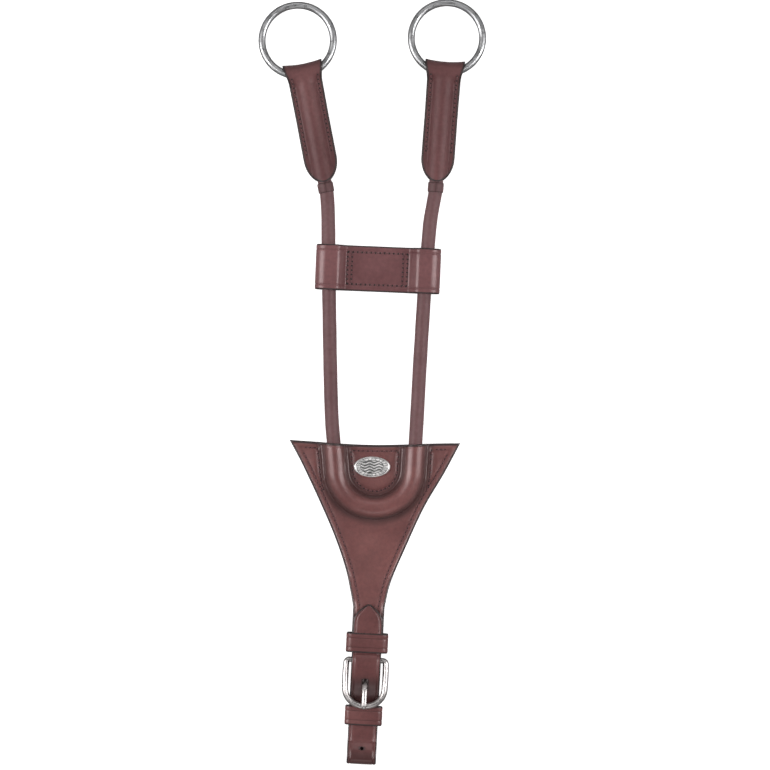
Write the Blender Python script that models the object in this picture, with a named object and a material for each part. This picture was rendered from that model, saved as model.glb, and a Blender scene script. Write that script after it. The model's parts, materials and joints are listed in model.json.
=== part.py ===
"""Running martingale attachment, lying flat: +Y towards the rings, +Z off the table.

Every length in this file is in millimetres; mesh_object() turns it into metres.
"""
import math

import bmesh
import bpy
from mathutils import Matrix, Vector

MM = 0.001
SHARP_DEG = 40

# ---- rings and loop tabs -------------------------------------------------
RING_MEAN_R = 25.0
RING_WIRE_R = 2.5
RING_CENTRE = {"left": (-52.3, 239.05), "right": (52.3, 240.8)}
TAB_LEAN_DEG = {"left": 10.8, "right": -4.3}
TAB_LENGTH = 85.6
TAB_FOLD_R = 7.4
TAB_HALF_WIDTH = ((0.0, 13.4), (6.0, 13.1), (12.0, 12.7), (40.0, 12.3), (68.5, 12.0))
TAB_TIP_START = 68.5
TAB_BORDER_HALF = 2.2
TAB_ARCH_R = 7.3
RING_HOLE_R = 5.0
RING_HOLE_FLARE_R = 6.2
HINGE_TO_RING_CENTRE = 23.2
RING_REST_TILT_DEG = 5.75

# ---- rolled cord ---------------------------------------------------------
Z_CORD = 7.4
CORD_R = 4.9
CORE_R = 2.6
COVER_BORE_R = 2.75
TAB_BORE_R = 5.1
TAB_BORE_START = 24.0
CORD_TOP_L = 25.0
SLEEVE_IN_R = 5.0
SLEEVE_OUT_R = 5.7
SLEEVE_L = (86.2, 92.8)
CORD_DEPTH_Y = -53.0
CORD_POINTS = {
    "left": ((-31.15, 122.0), (-30.8, 110.0), (-30.65, 96.0), (-30.3, 62.0), (-29.6, 20.0), (-28.75, -15.0)),
    "right": ((42.4, 123.0), (40.6, 112.0), (39.2, 97.0), (36.3, 60.0), (33.5, 15.0), (31.7, -18.0)),
}
LEG_FOOT = {"left": (-25.4, -61.25), "right": (29.1, -61.25)}
LEG_LEAN_DEG = {"left": 5.0, "right": -3.5}
LEG_TOP_Y = -31.0
BEND_R = 27.25
BEND_CENTRE = (1.85, -61.25)

# ---- bib -----------------------------------------------------------------
LINING_T = 1.3
FRONT_Z = 1.6
FRONT_T = 2.2
NECK_RISE = 5.1
RAMP = (-22.0, 4.0)
FRONT_END_S = 31.0
LINING_END_S = 19.5
NECK_HALF = 11.0
CHANNEL_R = 5.2
TOP_EDGE = (
    (61.7, -43.3), (45.0, -43.5), (24.0, -44.2), (1.9, -44.5), (-20.0, -43.7), (-40.0, -42.2), (-58.0, -40.95),
)
LEFT_EDGE = (
    (-58.0, -40.95), (-49.5, -57.05), (-38.0, -81.55), (-26.8, -107.45), (-19.1, -129.85), (-15.3, -146.65),
)
RIGHT_EDGE = ((12.8, -141.05), (22.9, -117.25), (36.2, -88.55), (50.2, -64.75), (61.7, -43.3))
RIDGE_PROFILE = (
    (9.9, 2.6), (9.9, 3.85), (8.8, 4.6), (7.95, 6.0), (7.45, 7.9), (6.85, 10.3), (5.25, 12.65), (2.85, 14.25),
    (0.0, 14.8),
)

# ---- badge ---------------------------------------------------------------
BADGE_CENTRE = (-0.2, -59.85)
BADGE_HALF = (12.95, 7.35)
BADGE_Z = 4.0
BADGE_POST_X = 7.0
BADGE_POST_R = 1.0
BADGE_HOLE_R = 1.25

# ---- strap end: s runs down the strap from the billet's tip, u across it -----
STRAP_TIP = (-2.3, -155.75)
STRAP_LEAN_DEG = 2.85
STRAP_HALF = 10.3
STRAP_T = 2.0
STRAP_FACE_Z = 10.1
BACK_Z = 2.5
BAR_S = 39.3
BAR_Z = 7.35
BAR_R = 2.0
CHAPE_T = 1.3
CHAPE_HALF = 10.0
CHAPE_LOOP_R = 3.0
CHAPE_LOW_Z = 4.35
CHAPE_HIGH_Z = 5.85
CHAPE_START_S = 4.0
ROOT_START_S = -6.0
KEEPER_UPPER = {"s": (20.3, 34.0), "half": 14.7, "z": (0.0, 12.7), "t": 1.4}
KEEPER_LOWER = {"s": (71.5, 85.2), "half": 13.15, "z": (0.0, 7.3), "t": 1.4}
FOLD_S = 107.9
FOLD_Z = 6.05
FOLD_R = 3.55
BILLET_FACE = (
    (0.0, STRAP_FACE_Z), (16.0, STRAP_FACE_Z), (33.4, STRAP_FACE_Z), (36.4, 11.45), (39.3, 12.35),
    (45.0, 12.2), (50.0, 11.6), (56.0, 10.1), (61.0, 8.0), (66.0, 6.1), (70.0, 5.0), (75.0, 4.7),
    (94.0, 4.7), (98.5, 6.3), (102.5, 8.5), (106.0, 9.55),
)
TONGUE_HOLE = (52.0, 60.2, 2.2)
SPARE_HOLE = (101.2, 1.4)

# ---- buckle --------------------------------------------------------------
BUCKLE_HALF = 13.85
BUCKLE_WIRE_R = 2.3
BUCKLE_CORNER_R = 2.2
BUCKLE_CORNER_WIRE_R = 2.15
BUCKLE_BOW = 0.2
BUCKLE_END_S = 71.5
BUCKLE_END_Z = 10.4
BUCKLE_ARC_S = 59.2
TONGUE_R = 1.7
TONGUE_PATH = (
    (41.6, 7.7), (45.0, 7.2), (49.0, 6.9), (52.2, 7.3), (54.6, 8.5), (56.5, 10.3), (58.6, 12.0),
    (61.6, 13.3), (66.0, 14.1), (70.5, 14.5), (73.2, 14.35),
)
TONGUE_TIP_TAPER = (0.97, 0.88, 0.62)
TONGUE_EYE_IN = 2.2
TONGUE_EYE_OUT = 3.5
TONGUE_EYE_HALF = 2.0
TONGUE_SLOT_HALF = 2.6

# ---- slide band: a runs across the fork, b along it ----------------------------
BAND_CENTRE = (4.0, 78.6)
BAND_TILT_DEG = -2.4
BAND_HALF_LENGTH = 43.75
BAND_HALF_HEIGHT = 15.9
BAND_T = 2.2
BAND_PANEL = (-22.2, 21.2)
BAND_CORE = {"a": (-21.6, 20.6), "half_b": 13.6, "z": (2.45, 5.4)}

COLOURS = {
    "leather": (0.155, 0.068, 0.062),
    "lining": (0.21, 0.10, 0.08),
    "cord": (0.14, 0.066, 0.062),
    "core": (0.45, 0.40, 0.33),
    "steel": (0.72, 0.72, 0.73),
}


# ---------------------------------------------------------------- helpers
def clear_scene():
    for obj in list(bpy.data.objects):
        bpy.data.objects.remove(obj)


def material(name, colour, metallic, roughness):
    mat = bpy.data.materials.new(name)
    mat.use_nodes = True
    shader = mat.node_tree.nodes["Principled BSDF"]
    shader.inputs["Base Color"].default_value = (*colour, 1.0)
    shader.inputs["Metallic"].default_value = metallic
    shader.inputs["Roughness"].default_value = roughness
    return mat


def mesh_object(name, verts, faces, look):
    """One closed body from millimetre points."""
    mesh = bpy.data.meshes.new(name)
    mesh.from_pydata([tuple(c * MM for c in v) for v in verts], [], faces)
    bm = bmesh.new()
    bm.from_mesh(mesh)
    bmesh.ops.recalc_face_normals(bm, faces=bm.faces)
    bm.to_mesh(mesh)
    bm.free()
    obj = bpy.data.objects.new(name, mesh)
    bpy.context.scene.collection.objects.link(obj)
    metal = look == "steel"
    mesh.materials.append(material(name, COLOURS[look], 1.0 if metal else 0.0, 0.22 if metal else 0.5))
    shade_round(mesh)
    return obj


def shade_round(mesh):
    """Smooth shading with the real edges kept sharp."""
    mesh.shade_smooth()
    mesh.set_sharp_from_angle(angle=math.radians(SHARP_DEG))


def combine(target, tool, operation):
    """Apply an exact Boolean and drop the tool."""
    mod = target.modifiers.new(operation, "BOOLEAN")
    mod.operation = operation
    mod.solver = "EXACT"
    mod.object = tool
    graph = bpy.context.evaluated_depsgraph_get()
    mesh = bpy.data.meshes.new_from_object(target.evaluated_get(graph))
    target.modifiers.clear()
    old = target.data
    target.data = mesh
    mesh.name = old.name
    bpy.data.meshes.remove(old)
    bpy.data.objects.remove(tool)
    bm = bmesh.new()
    bm.from_mesh(mesh)
    bmesh.ops.remove_doubles(bm, verts=bm.verts, dist=0.002 * MM)
    bmesh.ops.dissolve_degenerate(bm, edges=bm.edges, dist=0.002 * MM)
    bm.to_mesh(mesh)
    bm.free()
    while len(mesh.materials) > 1:
        mesh.materials.pop()
    shade_round(mesh)
    return target


def put_origin(obj, point):
    """Move the object's origin to a point given in millimetres."""
    origin = Vector(point) * MM
    obj.data.transform(Matrix.Translation(-origin))
    obj.location = origin


def smoothstep(low, high, x):
    t = min(1.0, max(0.0, (x - low) / (high - low)))
    return t * t * (3 - 2 * t)


def lerp_table(table, x):
    for (x0, y0), (x1, y1) in zip(table, table[1:]):
        if x <= x1:
            return y0 + (y1 - y0) * max(0.0, x - x0) / (x1 - x0)
    return table[-1][1]


def smooth(points, per_span):
    """Catmull-Rom curve through the points, in any number of dimensions."""
    pts = [Vector(p) for p in points]
    pts = [2 * pts[0] - pts[1]] + pts + [2 * pts[-1] - pts[-2]]
    out = []
    for i in range(1, len(pts) - 2):
        p0, p1, p2, p3 = pts[i - 1:i + 3]
        for k in range(per_span):
            t = k / per_span
            out.append(0.5 * ((2 * p1) + (p2 - p0) * t + (2 * p0 - 5 * p1 + 4 * p2 - p3) * t * t
                              + (3 * p1 - 3 * p2 + p3 - p0) * t ** 3))
    out.append(pts[-2])
    return out


def turn(angle_deg, x, y):
    a = math.radians(angle_deg)
    return x * math.cos(a) - y * math.sin(a), x * math.sin(a) + y * math.cos(a)


def loft(rings, closed):
    """Quads between equal rings of points; the two ends are capped when the loft is open."""
    count = len(rings[0])
    verts = [p for ring in rings for p in ring]
    faces = []
    spans = len(rings) if closed else len(rings) - 1
    for i in range(spans):
        base = i * count
        ahead = (i + 1) % len(rings) * count
        for j in range(count):
            k = (j + 1) % count
            faces.append((base + j, base + k, ahead + k, ahead + j))
    if not closed:
        faces.append(tuple(range(count - 1, -1, -1)))
        faces.append(tuple(range(len(verts) - count, len(verts))))
    return verts, faces


def directions(path, closed):
    out = []
    for i in range(len(path)):
        if closed:
            ahead, back = path[(i + 1) % len(path)], path[i - 1]
        else:
            ahead, back = path[min(i + 1, len(path) - 1)], path[max(i - 1, 0)]
        out.append((ahead - back).normalized())
    return out


def circle_rings(path, radii, sides, ref, closed):
    """Rings of a tube whose path lies in a plane square to ref."""
    rings = []
    up = Vector(ref).normalized()
    for point, along, radius in zip(path, directions(path, closed), radii):
        side = along.cross(up).normalized()
        rings.append([point + side * radius * math.cos(2 * math.pi * k / sides)
                      + up * radius * math.sin(2 * math.pi * k / sides) for k in range(sides)])
    return rings


def rod(name, path, radii, sides, ref, look, closed=False):
    if not isinstance(radii, (list, tuple)):
        radii = [radii] * len(path)
    return mesh_object(name, *loft(circle_rings(path, radii, sides, ref, closed), closed), look)


def pipe(name, path, inner, outer, sides, look):
    """Tube with a wall, open at both ends, lying in the XY plane."""
    outer_rings = circle_rings(path, [outer] * len(path), sides, (0, 0, 1), False)
    inner_rings = circle_rings(path, [inner] * len(path), sides, (0, 0, 1), False)
    verts = [p for ring in outer_rings for p in ring] + [p for ring in inner_rings for p in ring]
    shift = len(outer_rings) * sides
    faces = []
    for i in range(len(path) - 1):
        for j in range(sides):
            k = (j + 1) % sides
            a, b = i * sides, (i + 1) * sides
            faces.append((a + j, a + k, b + k, b + j))
            faces.append((shift + a + k, shift + a + j, shift + b + j, shift + b + k))
    for ring in (0, (len(path) - 1) * sides):
        for j in range(sides):
            k = (j + 1) % sides
            faces.append((ring + j, shift + ring + j, shift + ring + k, ring + k))
    return mesh_object(name, verts, faces, look)


def ribbon(name, path, half_t, half_w, place, look, closed=False, bevel=0.35):
    """Leather strip: a path in (a, z), thickness across it, width along b."""
    rings = []
    for i, (point, along) in enumerate(zip(path, directions(path, closed))):
        t = half_t(i) if callable(half_t) else half_t
        w = half_w(i) if callable(half_w) else half_w
        c = min(bevel, 0.4 * t, 0.4 * w)
        normal = Vector((-along.y, along.x))
        corners = (
            (w, t - c), (w - c, t), (c - w, t), (-w, t - c),
            (-w, c - t), (c - w, -t), (w - c, -t), (w, c - t),
        )
        rings.append([place(*(point + normal * off), b) for b, off in corners])
    return mesh_object(name, *loft(rings, closed), look)


def slab(name, outline, z0, z1, look, bevel=0.0):
    """Plate from an outline; its top edge is chamfered when bevel is given."""
    count = len(outline)
    pts = [Vector(p) for p in outline]
    levels = [(z0, 0.0), (z1, 0.0)] if not bevel else [(z0, 0.0), (z1 - bevel, 0.0), (z1, bevel)]
    rings = []
    for z, inset in levels:
        ring = []
        for i, p in enumerate(pts):
            before = (p - pts[i - 1]).normalized()
            after = (pts[(i + 1) % count] - p).normalized()
            inward = Vector((-(before.y + after.y), before.x + after.x))
            size = inward.length
            if size > 1e-6:
                inward = inward / size * min(2.0, 2.0 / size)
            ring.append((p.x + inward.x * inset, p.y + inward.y * inset, z))
        rings.append(ring)
    return mesh_object(name, *loft(rings, False), look)


def cylinder(name, start, end, radius, sides, ref, end_radius=None):
    return rod(name, [Vector(start), Vector(end)], [radius, end_radius or radius], sides, ref, "core")


def block(name, low, high, place=None):
    xs, ys, zs = zip(low, high)
    plan = ((xs[0], ys[0]), (xs[1], ys[0]), (xs[1], ys[1]), (xs[0], ys[1]))
    verts = [(x, y, z) for z in zs for x, y in plan]
    if place:
        verts = [place(*v) for v in verts]
    faces = [(3, 2, 1, 0), (4, 5, 6, 7), (0, 1, 5, 4), (1, 2, 6, 5), (2, 3, 7, 6), (3, 0, 4, 7)]
    return mesh_object(name, verts, faces, "core")


# ---------------------------------------------------------------- frames of reference
def tab_place(side):
    """(l, w, z) on a tab: l down its axis from the fold, w across it."""
    cx, cy = RING_CENTRE[side]
    lean = math.radians(TAB_LEAN_DEG[side])
    fold = HINGE_TO_RING_CENTRE - TAB_FOLD_R

    def place(l, w, z):
        run = fold + l
        x = cx + math.sin(lean) * run + math.cos(lean) * w
        y = cy - math.cos(lean) * run + math.sin(lean) * w
        return (x, y, z)

    return place


def strap_place(s, z, u):
    """(s, z, u) on the strap end."""
    lean = math.radians(STRAP_LEAN_DEG)
    x = STRAP_TIP[0] - math.sin(lean) * s + math.cos(lean) * u
    y = STRAP_TIP[1] - math.cos(lean) * s - math.sin(lean) * u
    return (x, y, z)


def strap_s(x, y):
    lean = math.radians(STRAP_LEAN_DEG)
    return -(x - STRAP_TIP[0]) * math.sin(lean) - (y - STRAP_TIP[1]) * math.cos(lean)


def leg_point(side, y):
    """Point on the straight part of the cord at height y."""
    fx, fy = LEG_FOOT[side]
    return (fx - math.tan(math.radians(LEG_LEAN_DEG[side])) * (y - fy), y)


# ---------------------------------------------------------------- cord
def cord_path(side):
    place = tab_place(side)
    inside = [place(l, 0, Z_CORD)[:2] for l in (CORD_TOP_L, 45.0, 66.0, 86.0, 92.5)]
    legs = [leg_point(side, y) for y in (LEG_TOP_Y, -42.0, CORD_DEPTH_Y)]
    flat = smooth(inside + list(CORD_POINTS[side]) + legs, 2)
    return [Vector((p.x, p.y, Z_CORD)) for p in flat]


def make_cord(side):
    path = cord_path(side)
    pipe(f"cord_{side}_cover", path, COVER_BORE_R, CORD_R, 12, "cord")
    core = [path[0].lerp(path[1], 0.05)] + path[1:-1] + [path[-1].lerp(path[-2], 0.05)]
    rod(f"cord_{side}_core", core, CORE_R, 8, (0, 0, 1), "core")
    place = tab_place(side)
    ends = [Vector(place(l, 0, Z_CORD)) for l in SLEEVE_L]
    middle = (ends[0] + ends[1]) / 2
    pipe(f"sleeve_{side}", [ends[0], middle, ends[1]], SLEEVE_IN_R, SLEEVE_OUT_R, 20, "leather")


def bend_points(first_deg, last_deg, steps):
    out = []
    for k in range(steps + 1):
        a = math.radians(first_deg + (last_deg - first_deg) * k / steps)
        x = BEND_CENTRE[0] + BEND_R * math.cos(a)
        y = BEND_CENTRE[1] + BEND_R * math.sin(a)
        out.append(Vector((x, y, Z_CORD)))
    return out


def make_cord_run():
    path = bend_points(182.2, 357.8, 24)
    pipe("cord_run_cover", path, COVER_BORE_R, CORD_R, 12, "cord")
    core = bend_points(182.6, 357.4, 24)
    rod("cord_run_core", core, CORE_R, 8, (0, 0, 1), "core")


# ---------------------------------------------------------------- tabs and rings
def tab_half_width(l):
    if l <= TAB_TIP_START:
        return lerp_table(TAB_HALF_WIDTH, l)
    t = min(0.997, (l - TAB_TIP_START) / (TAB_LENGTH - TAB_TIP_START))
    return TAB_HALF_WIDTH[-1][1] * math.sqrt(1 - t * t)


def tab_half_thickness(l, w):
    fold = math.sqrt(max(0.0, TAB_FOLD_R ** 2 - (TAB_FOLD_R - l) ** 2)) if l < TAB_FOLD_R else TAB_FOLD_R
    arch = math.sqrt(max(0.0, TAB_ARCH_R ** 2 - w * w))
    soft = 1.2
    rise = arch - TAB_BORDER_HALF
    body = TAB_BORDER_HALF + 0.5 * (rise + math.sqrt(rise ** 2 + soft)) - 0.06
    body = min(body, TAB_ARCH_R)
    t = smoothstep(9.0, 17.0, l)
    return (1 - t) * fold + t * body


def make_tab(side):
    place = tab_place(side)
    stations = [0.06, 0.5, 1.4, 2.8, 4.8, 7.4, 9.5, 11.5, 13.5, 15.5, 17.5, 22.0, 40.0, 60.0, 68.5, 72.5, 76.0,
                79.0, 81.5, 83.4, 84.7, 85.45]
    across = [-1, -0.86, -0.72, -0.62, -0.54, -0.45, -0.34, -0.22, -0.11, 0, 0.11, 0.22, 0.34, 0.45, 0.54, 0.62,
              0.72, 0.86, 1]
    rings = []
    for l in stations:
        half = tab_half_width(l)
        top = [place(l, half * a, Z_CORD + tab_half_thickness(l, half * a)) for a in across]
        low = [place(l, half * a, Z_CORD - tab_half_thickness(l, half * a)) for a in reversed(across)]
        rings.append(top + low)
    tab = mesh_object(f"tab_{side}", *loft(rings, False), "leather")
    hinge = TAB_FOLD_R
    up = (0, 0, 1)
    hole = cylinder("hole", place(hinge, -20, Z_CORD), place(hinge, 20, Z_CORD), RING_HOLE_R, 32, up)
    combine(tab, hole, "DIFFERENCE")
    for sign in (-1, 1):
        flare = cylinder("flare", place(hinge, sign * 11.6, Z_CORD), place(hinge, sign * 14.0, Z_CORD),
                         RING_HOLE_R - 0.05, 32, up, RING_HOLE_FLARE_R)
        combine(tab, flare, "DIFFERENCE")
    bore_ends = [place(l, 0, Z_CORD) for l in (TAB_BORE_START, TAB_LENGTH + 5)]
    bore = cylinder("bore", bore_ends[0], bore_ends[1], TAB_BORE_R, 24, up)
    combine(tab, bore, "DIFFERENCE")
    return tab


def make_ring(side):
    cx, cy = RING_CENTRE[side]
    steps = 56
    path = [Vector((cx + RING_MEAN_R * math.cos(2 * math.pi * k / steps),
                    cy + RING_MEAN_R * math.sin(2 * math.pi * k / steps), Z_CORD)) for k in range(steps)]
    hinge = Vector(tab_place(side)(TAB_FOLD_R, 0, Z_CORD))
    across = Vector(tab_place(side)(TAB_FOLD_R, 1, Z_CORD)) - hinge
    tip = Matrix.Rotation(math.radians(-RING_REST_TILT_DEG), 3, across)
    ref = tip @ Vector((0, 0, 1))
    path = [tip @ (p - hinge) + hinge for p in path]
    ring = rod(f"ring_{side}", path, RING_WIRE_R, 12, ref, "steel", closed=True)
    put_origin(ring, hinge)


# ---------------------------------------------------------------- bib
def bib_outline(end_s, half):
    left = smooth(LEFT_EDGE + (strap_place(2.0, 0, -half)[:2],), 4)
    foot = [Vector(strap_place(end_s, 0, u)[:2]) for u in (-half, half)]
    right = smooth((strap_place(2.0, 0, half)[:2],) + RIGHT_EDGE, 4)
    top = smooth(TOP_EDGE, 2)[1:-1]
    return left + foot + right + top


def channel_path():
    legs = {}
    for side in ("left", "right"):
        legs[side] = [Vector((*leg_point(side, y), 0)) for y in (-36.0, -44.0, -53.0)]
    arc = [Vector((p.x, p.y, 0)) for p in bend_points(180, 360, 28)]
    return legs["left"] + arc + legs["right"][::-1]


def sweep_profile(name, profile, look):
    path = channel_path()
    rings = []
    for point, along in zip(path, directions(path, False)):
        side = Vector((along.y, -along.x, 0))
        rings.append([point + side * d + Vector((0, 0, z)) for d, z in profile])
    return mesh_object(name, *loft(rings, False), look)


def raise_neck(obj):
    """Lift the front leather over the strap's root and the chape."""
    bm = bmesh.new()
    bm.from_mesh(obj.data)
    lean = math.radians(STRAP_LEAN_DEG)
    normal = Vector((-math.sin(lean), -math.cos(lean), 0))
    cuts = 12
    for k in range(cuts + 1):
        s = RAMP[0] + (RAMP[1] - RAMP[0]) * k / cuts
        point = Vector(strap_place(s, 0, 0)) * MM
        geom = bm.verts[:] + bm.edges[:] + bm.faces[:]
        bmesh.ops.bisect_plane(bm, geom=geom, dist=1e-7, plane_co=point, plane_no=normal)
    for vert in bm.verts:
        s = strap_s(vert.co.x / MM, vert.co.y / MM)
        vert.co.z += NECK_RISE * smoothstep(RAMP[0], RAMP[1], s) * MM
    bm.to_mesh(obj.data)
    bm.free()


def make_bib():
    outline = bib_outline(FRONT_END_S, NECK_HALF)
    front = slab("bib_front", outline, FRONT_Z, FRONT_Z + FRONT_T, "leather", bevel=0.5)
    profile = list(RIDGE_PROFILE) + [(-d, z) for d, z in RIDGE_PROFILE[-2::-1]]
    ridge = sweep_profile("ridge", profile, "leather")
    guard = [(-70.0, -44.9), (-70.0, -120.0), (70.0, -120.0), (70.0, -44.9)]
    combine(ridge, slab("guard", guard, -5, 30, "leather"), "INTERSECT")
    combine(front, ridge, "UNION")
    arch = [(CHANNEL_R * math.cos(math.radians(a)), Z_CORD + CHANNEL_R * math.sin(math.radians(a)))
            for a in range(0, 181, 15)]
    hollow = [(CHANNEL_R, 0.4)] + arch + [(-CHANNEL_R, 0.4)]
    combine(front, sweep_profile("channel", hollow, "core"), "DIFFERENCE")
    for sign in (-1, 1):
        x = BADGE_CENTRE[0] + sign * BADGE_POST_X
        ends = [(x, BADGE_CENTRE[1], z) for z in (0.5, 6.0)]
        hole = cylinder("hole", ends[0], ends[1], BADGE_HOLE_R, 16, (0, 1, 0))
        combine(front, hole, "DIFFERENCE")
    raise_neck(front)
    slab("bib_lining", bib_outline(LINING_END_S, NECK_HALF), 0.0, LINING_T, "lining")


def make_badge():
    cx, cy = BADGE_CENTRE
    levels = (
        (0.0, 1.0), (0.8, 1.0), (1.5, 0.97), (1.9, 0.92),
        (1.7, 0.87), (1.2, 0.82), (1.35, 0.6), (1.55, 0.3),
    )
    rings = [[(cx + BADGE_HALF[0] * k * math.cos(2 * math.pi * i / 32),
               cy + BADGE_HALF[1] * k * math.sin(2 * math.pi * i / 32), BADGE_Z + z) for i in range(32)]
             for z, k in levels]
    plate = mesh_object("badge_plate", *loft(rings, False), "steel")
    for sign in (-1, 1):
        x = cx + sign * BADGE_POST_X
        post = cylinder("post", (x, cy, 1.9), (x, cy, BADGE_Z + 0.5), BADGE_POST_R, 12, (0, 1, 0))
        combine(plate, post, "UNION")


# ---------------------------------------------------------------- strap end
def billet_path():
    face = smooth(BILLET_FACE, 3)
    for k in range(9):
        a = math.radians(90 - 22.5 * k)
        face.append(Vector((FOLD_S + FOLD_R * math.cos(a), FOLD_Z + FOLD_R * math.sin(a))))
    return face + [Vector((100.0, BACK_Z)), Vector((60.0, BACK_Z)), Vector((ROOT_START_S, BACK_Z))]


def make_billet():
    path = billet_path()
    tip = [Vector((s, STRAP_FACE_Z)) for s in (0.25, 0.9, 1.9, 3.2, 4.8, 6.8, 9.2, 12.0)]
    path = tip + [p for i, p in enumerate(path) if p.x > 13.0 or i > 8]

    def half(i):
        s = path[i].x
        if i >= len(tip):
            return STRAP_HALF
        return STRAP_HALF * min(1.0, 0.06 + math.sin(math.pi / 2 * min(1.0, s / 12.0)) ** 0.85 * 0.94)

    billet = ribbon("billet", path, STRAP_T / 2, half, strap_place, "leather")
    s0, s1, w = TONGUE_HOLE
    outline = []
    for centre, first in ((s0 + w, 90), (s1 - w, 270)):
        for step in range(10):
            a = math.radians(first + 20 * step)
            outline.append((centre + w * math.cos(a), w * math.sin(a)))
    combine(billet, prism(outline, 6.0, 16.0), "DIFFERENCE")
    s, r = SPARE_HOLE
    outline = [(s + r * math.cos(math.radians(a)), r * math.sin(math.radians(a))) for a in range(0, 360, 24)]
    combine(billet, prism(outline, 5.2, 14.0), "DIFFERENCE")


def prism(outline, z0, z1):
    """Upright cutter on the strap from an (s, u) outline."""
    rings = [[strap_place(s, z, u) for s, u in outline] for z in (z0, z1)]
    return mesh_object("cutter", *loft(rings, False), "core")


def make_chape():
    path = [Vector((CHAPE_START_S, CHAPE_LOW_Z)), Vector((20.0, CHAPE_LOW_Z)), Vector((34.0, CHAPE_LOW_Z))]
    for k in range(12):
        a = math.radians(-90 + 20 * k)
        path.append(Vector((BAR_S + CHAPE_LOOP_R * math.cos(a), BAR_Z + CHAPE_LOOP_R * math.sin(a))))
    path += [Vector((34.4, 7.1)), Vector((32.6, 6.05)), Vector((31.0, CHAPE_HIGH_Z)), Vector((20.0, CHAPE_HIGH_Z)),
             Vector((CHAPE_START_S, CHAPE_HIGH_Z))]
    chape = ribbon("chape", path, CHAPE_T / 2, CHAPE_HALF, strap_place, "leather", bevel=0.25)
    w = TONGUE_SLOT_HALF
    slot = [(33.6, -w), (45.0, -w), (45.0, w), (33.6, w), (32.6, w * 0.5), (32.6, -w * 0.5)]
    combine(chape, prism(slot, 2.0, 13.0), "DIFFERENCE")


def keeper_loop(spec):
    t = spec["t"]
    half = spec["half"] - t / 2
    low, high = spec["z"][0] + t / 2, spec["z"][1] - t / 2
    r = min(1.8, (high - low) / 2 - 0.2)
    path = []
    corners = (
        (half - r, high - r, 90), (half - r, low + r, 0),
        (r - half, low + r, -90), (r - half, high - r, -180),
    )
    for cx, cz, start in corners:
        for k in range(5):
            a = math.radians(start - 22.5 * k)
            path.append(Vector((cx + r * math.cos(a), cz + r * math.sin(a))))
    return path


def make_keeper(name, spec):
    s0, s1 = spec["s"]
    mid = (s0 + s1) / 2

    def place(u, z, b):
        return strap_place(mid + b, z, u)

    keeper = ribbon(name, keeper_loop(spec), spec["t"] / 2, (s1 - s0) / 2, place, "leather", closed=True)
    put_origin(keeper, strap_place(mid, spec["t"] / 2, 0))


# ---------------------------------------------------------------- buckle
def buckle_loop():
    """(s, u, wire radius) round the frame, the bar first."""
    corner = BUCKLE_CORNER_R
    side = []
    for k in range(1, 5):
        a = math.radians(22.5 * k)
        s = BAR_S + corner - corner * math.cos(a)
        side.append((s, BUCKLE_HALF - corner + corner * math.sin(a), BUCKLE_CORNER_WIRE_R))
    for s in (46.0, 52.0, 57.0):
        bow = BUCKLE_BOW * math.sin((s - BAR_S) / 20 * math.pi)
        side.append((s, BUCKLE_HALF + bow, BUCKLE_WIRE_R))
    end = []
    for k in range(17):
        a = math.radians(90 - 180 * k / 16)
        s = BUCKLE_ARC_S + (BUCKLE_END_S - BUCKLE_ARC_S) * math.cos(a)
        end.append((s, BUCKLE_HALF * math.sin(a), BUCKLE_WIRE_R))
    bar = [(BAR_S, u, BAR_R) for u in (-10.6, -5.0, 0.0, 5.0, 10.6)]
    return bar + side + end + [(s, -u, r) for s, u, r in reversed(side)]


def make_buckle():
    slope = (BUCKLE_END_Z - BAR_Z) / (BUCKLE_END_S - BAR_S)
    loop = buckle_loop()
    path = [Vector(strap_place(s, BAR_Z + (s - BAR_S) * slope, u)) for s, u, _ in loop]
    bar = Vector(strap_place(BAR_S, BAR_Z, 0))
    down = Vector(strap_place(BAR_S + 1, BAR_Z + slope, 0)) - bar
    across = Vector(strap_place(BAR_S, BAR_Z, 1)) - bar
    frame = rod("buckle_frame", path, [r for _, _, r in loop], 12, across.cross(down), "steel", closed=True)
    put_origin(frame, bar)


def make_tongue():
    bar = Vector(strap_place(BAR_S, BAR_Z, 0))
    across = Vector(strap_place(BAR_S, BAR_Z, 1)) - bar
    shank = smooth(TONGUE_PATH, 2)
    path = [Vector(strap_place(p.x, p.y, 0)) for p in shank]
    taper = len(TONGUE_TIP_TAPER)
    radii = [TONGUE_R] * (len(path) - taper) + [TONGUE_R * k for k in TONGUE_TIP_TAPER]
    tongue = rod("buckle_tongue", path, radii, 12, across, "steel")
    ends = [strap_place(BAR_S, BAR_Z, u) for u in (-TONGUE_EYE_HALF, TONGUE_EYE_HALF)]
    combine(tongue, cylinder("eye", ends[0], ends[1], TONGUE_EYE_OUT, 24, (0, 0, 1)), "UNION")
    ends = [strap_place(BAR_S, BAR_Z, u) for u in (-4, 4)]
    combine(tongue, cylinder("hole", ends[0], ends[1], TONGUE_EYE_IN, 24, (0, 0, 1)), "DIFFERENCE")
    put_origin(tongue, bar)


# ---------------------------------------------------------------- slide band
def band_place(a, z, b):
    x, y = turn(BAND_TILT_DEG, a, b)
    return (BAND_CENTRE[0] + x, BAND_CENTRE[1] + y, z)


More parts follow.
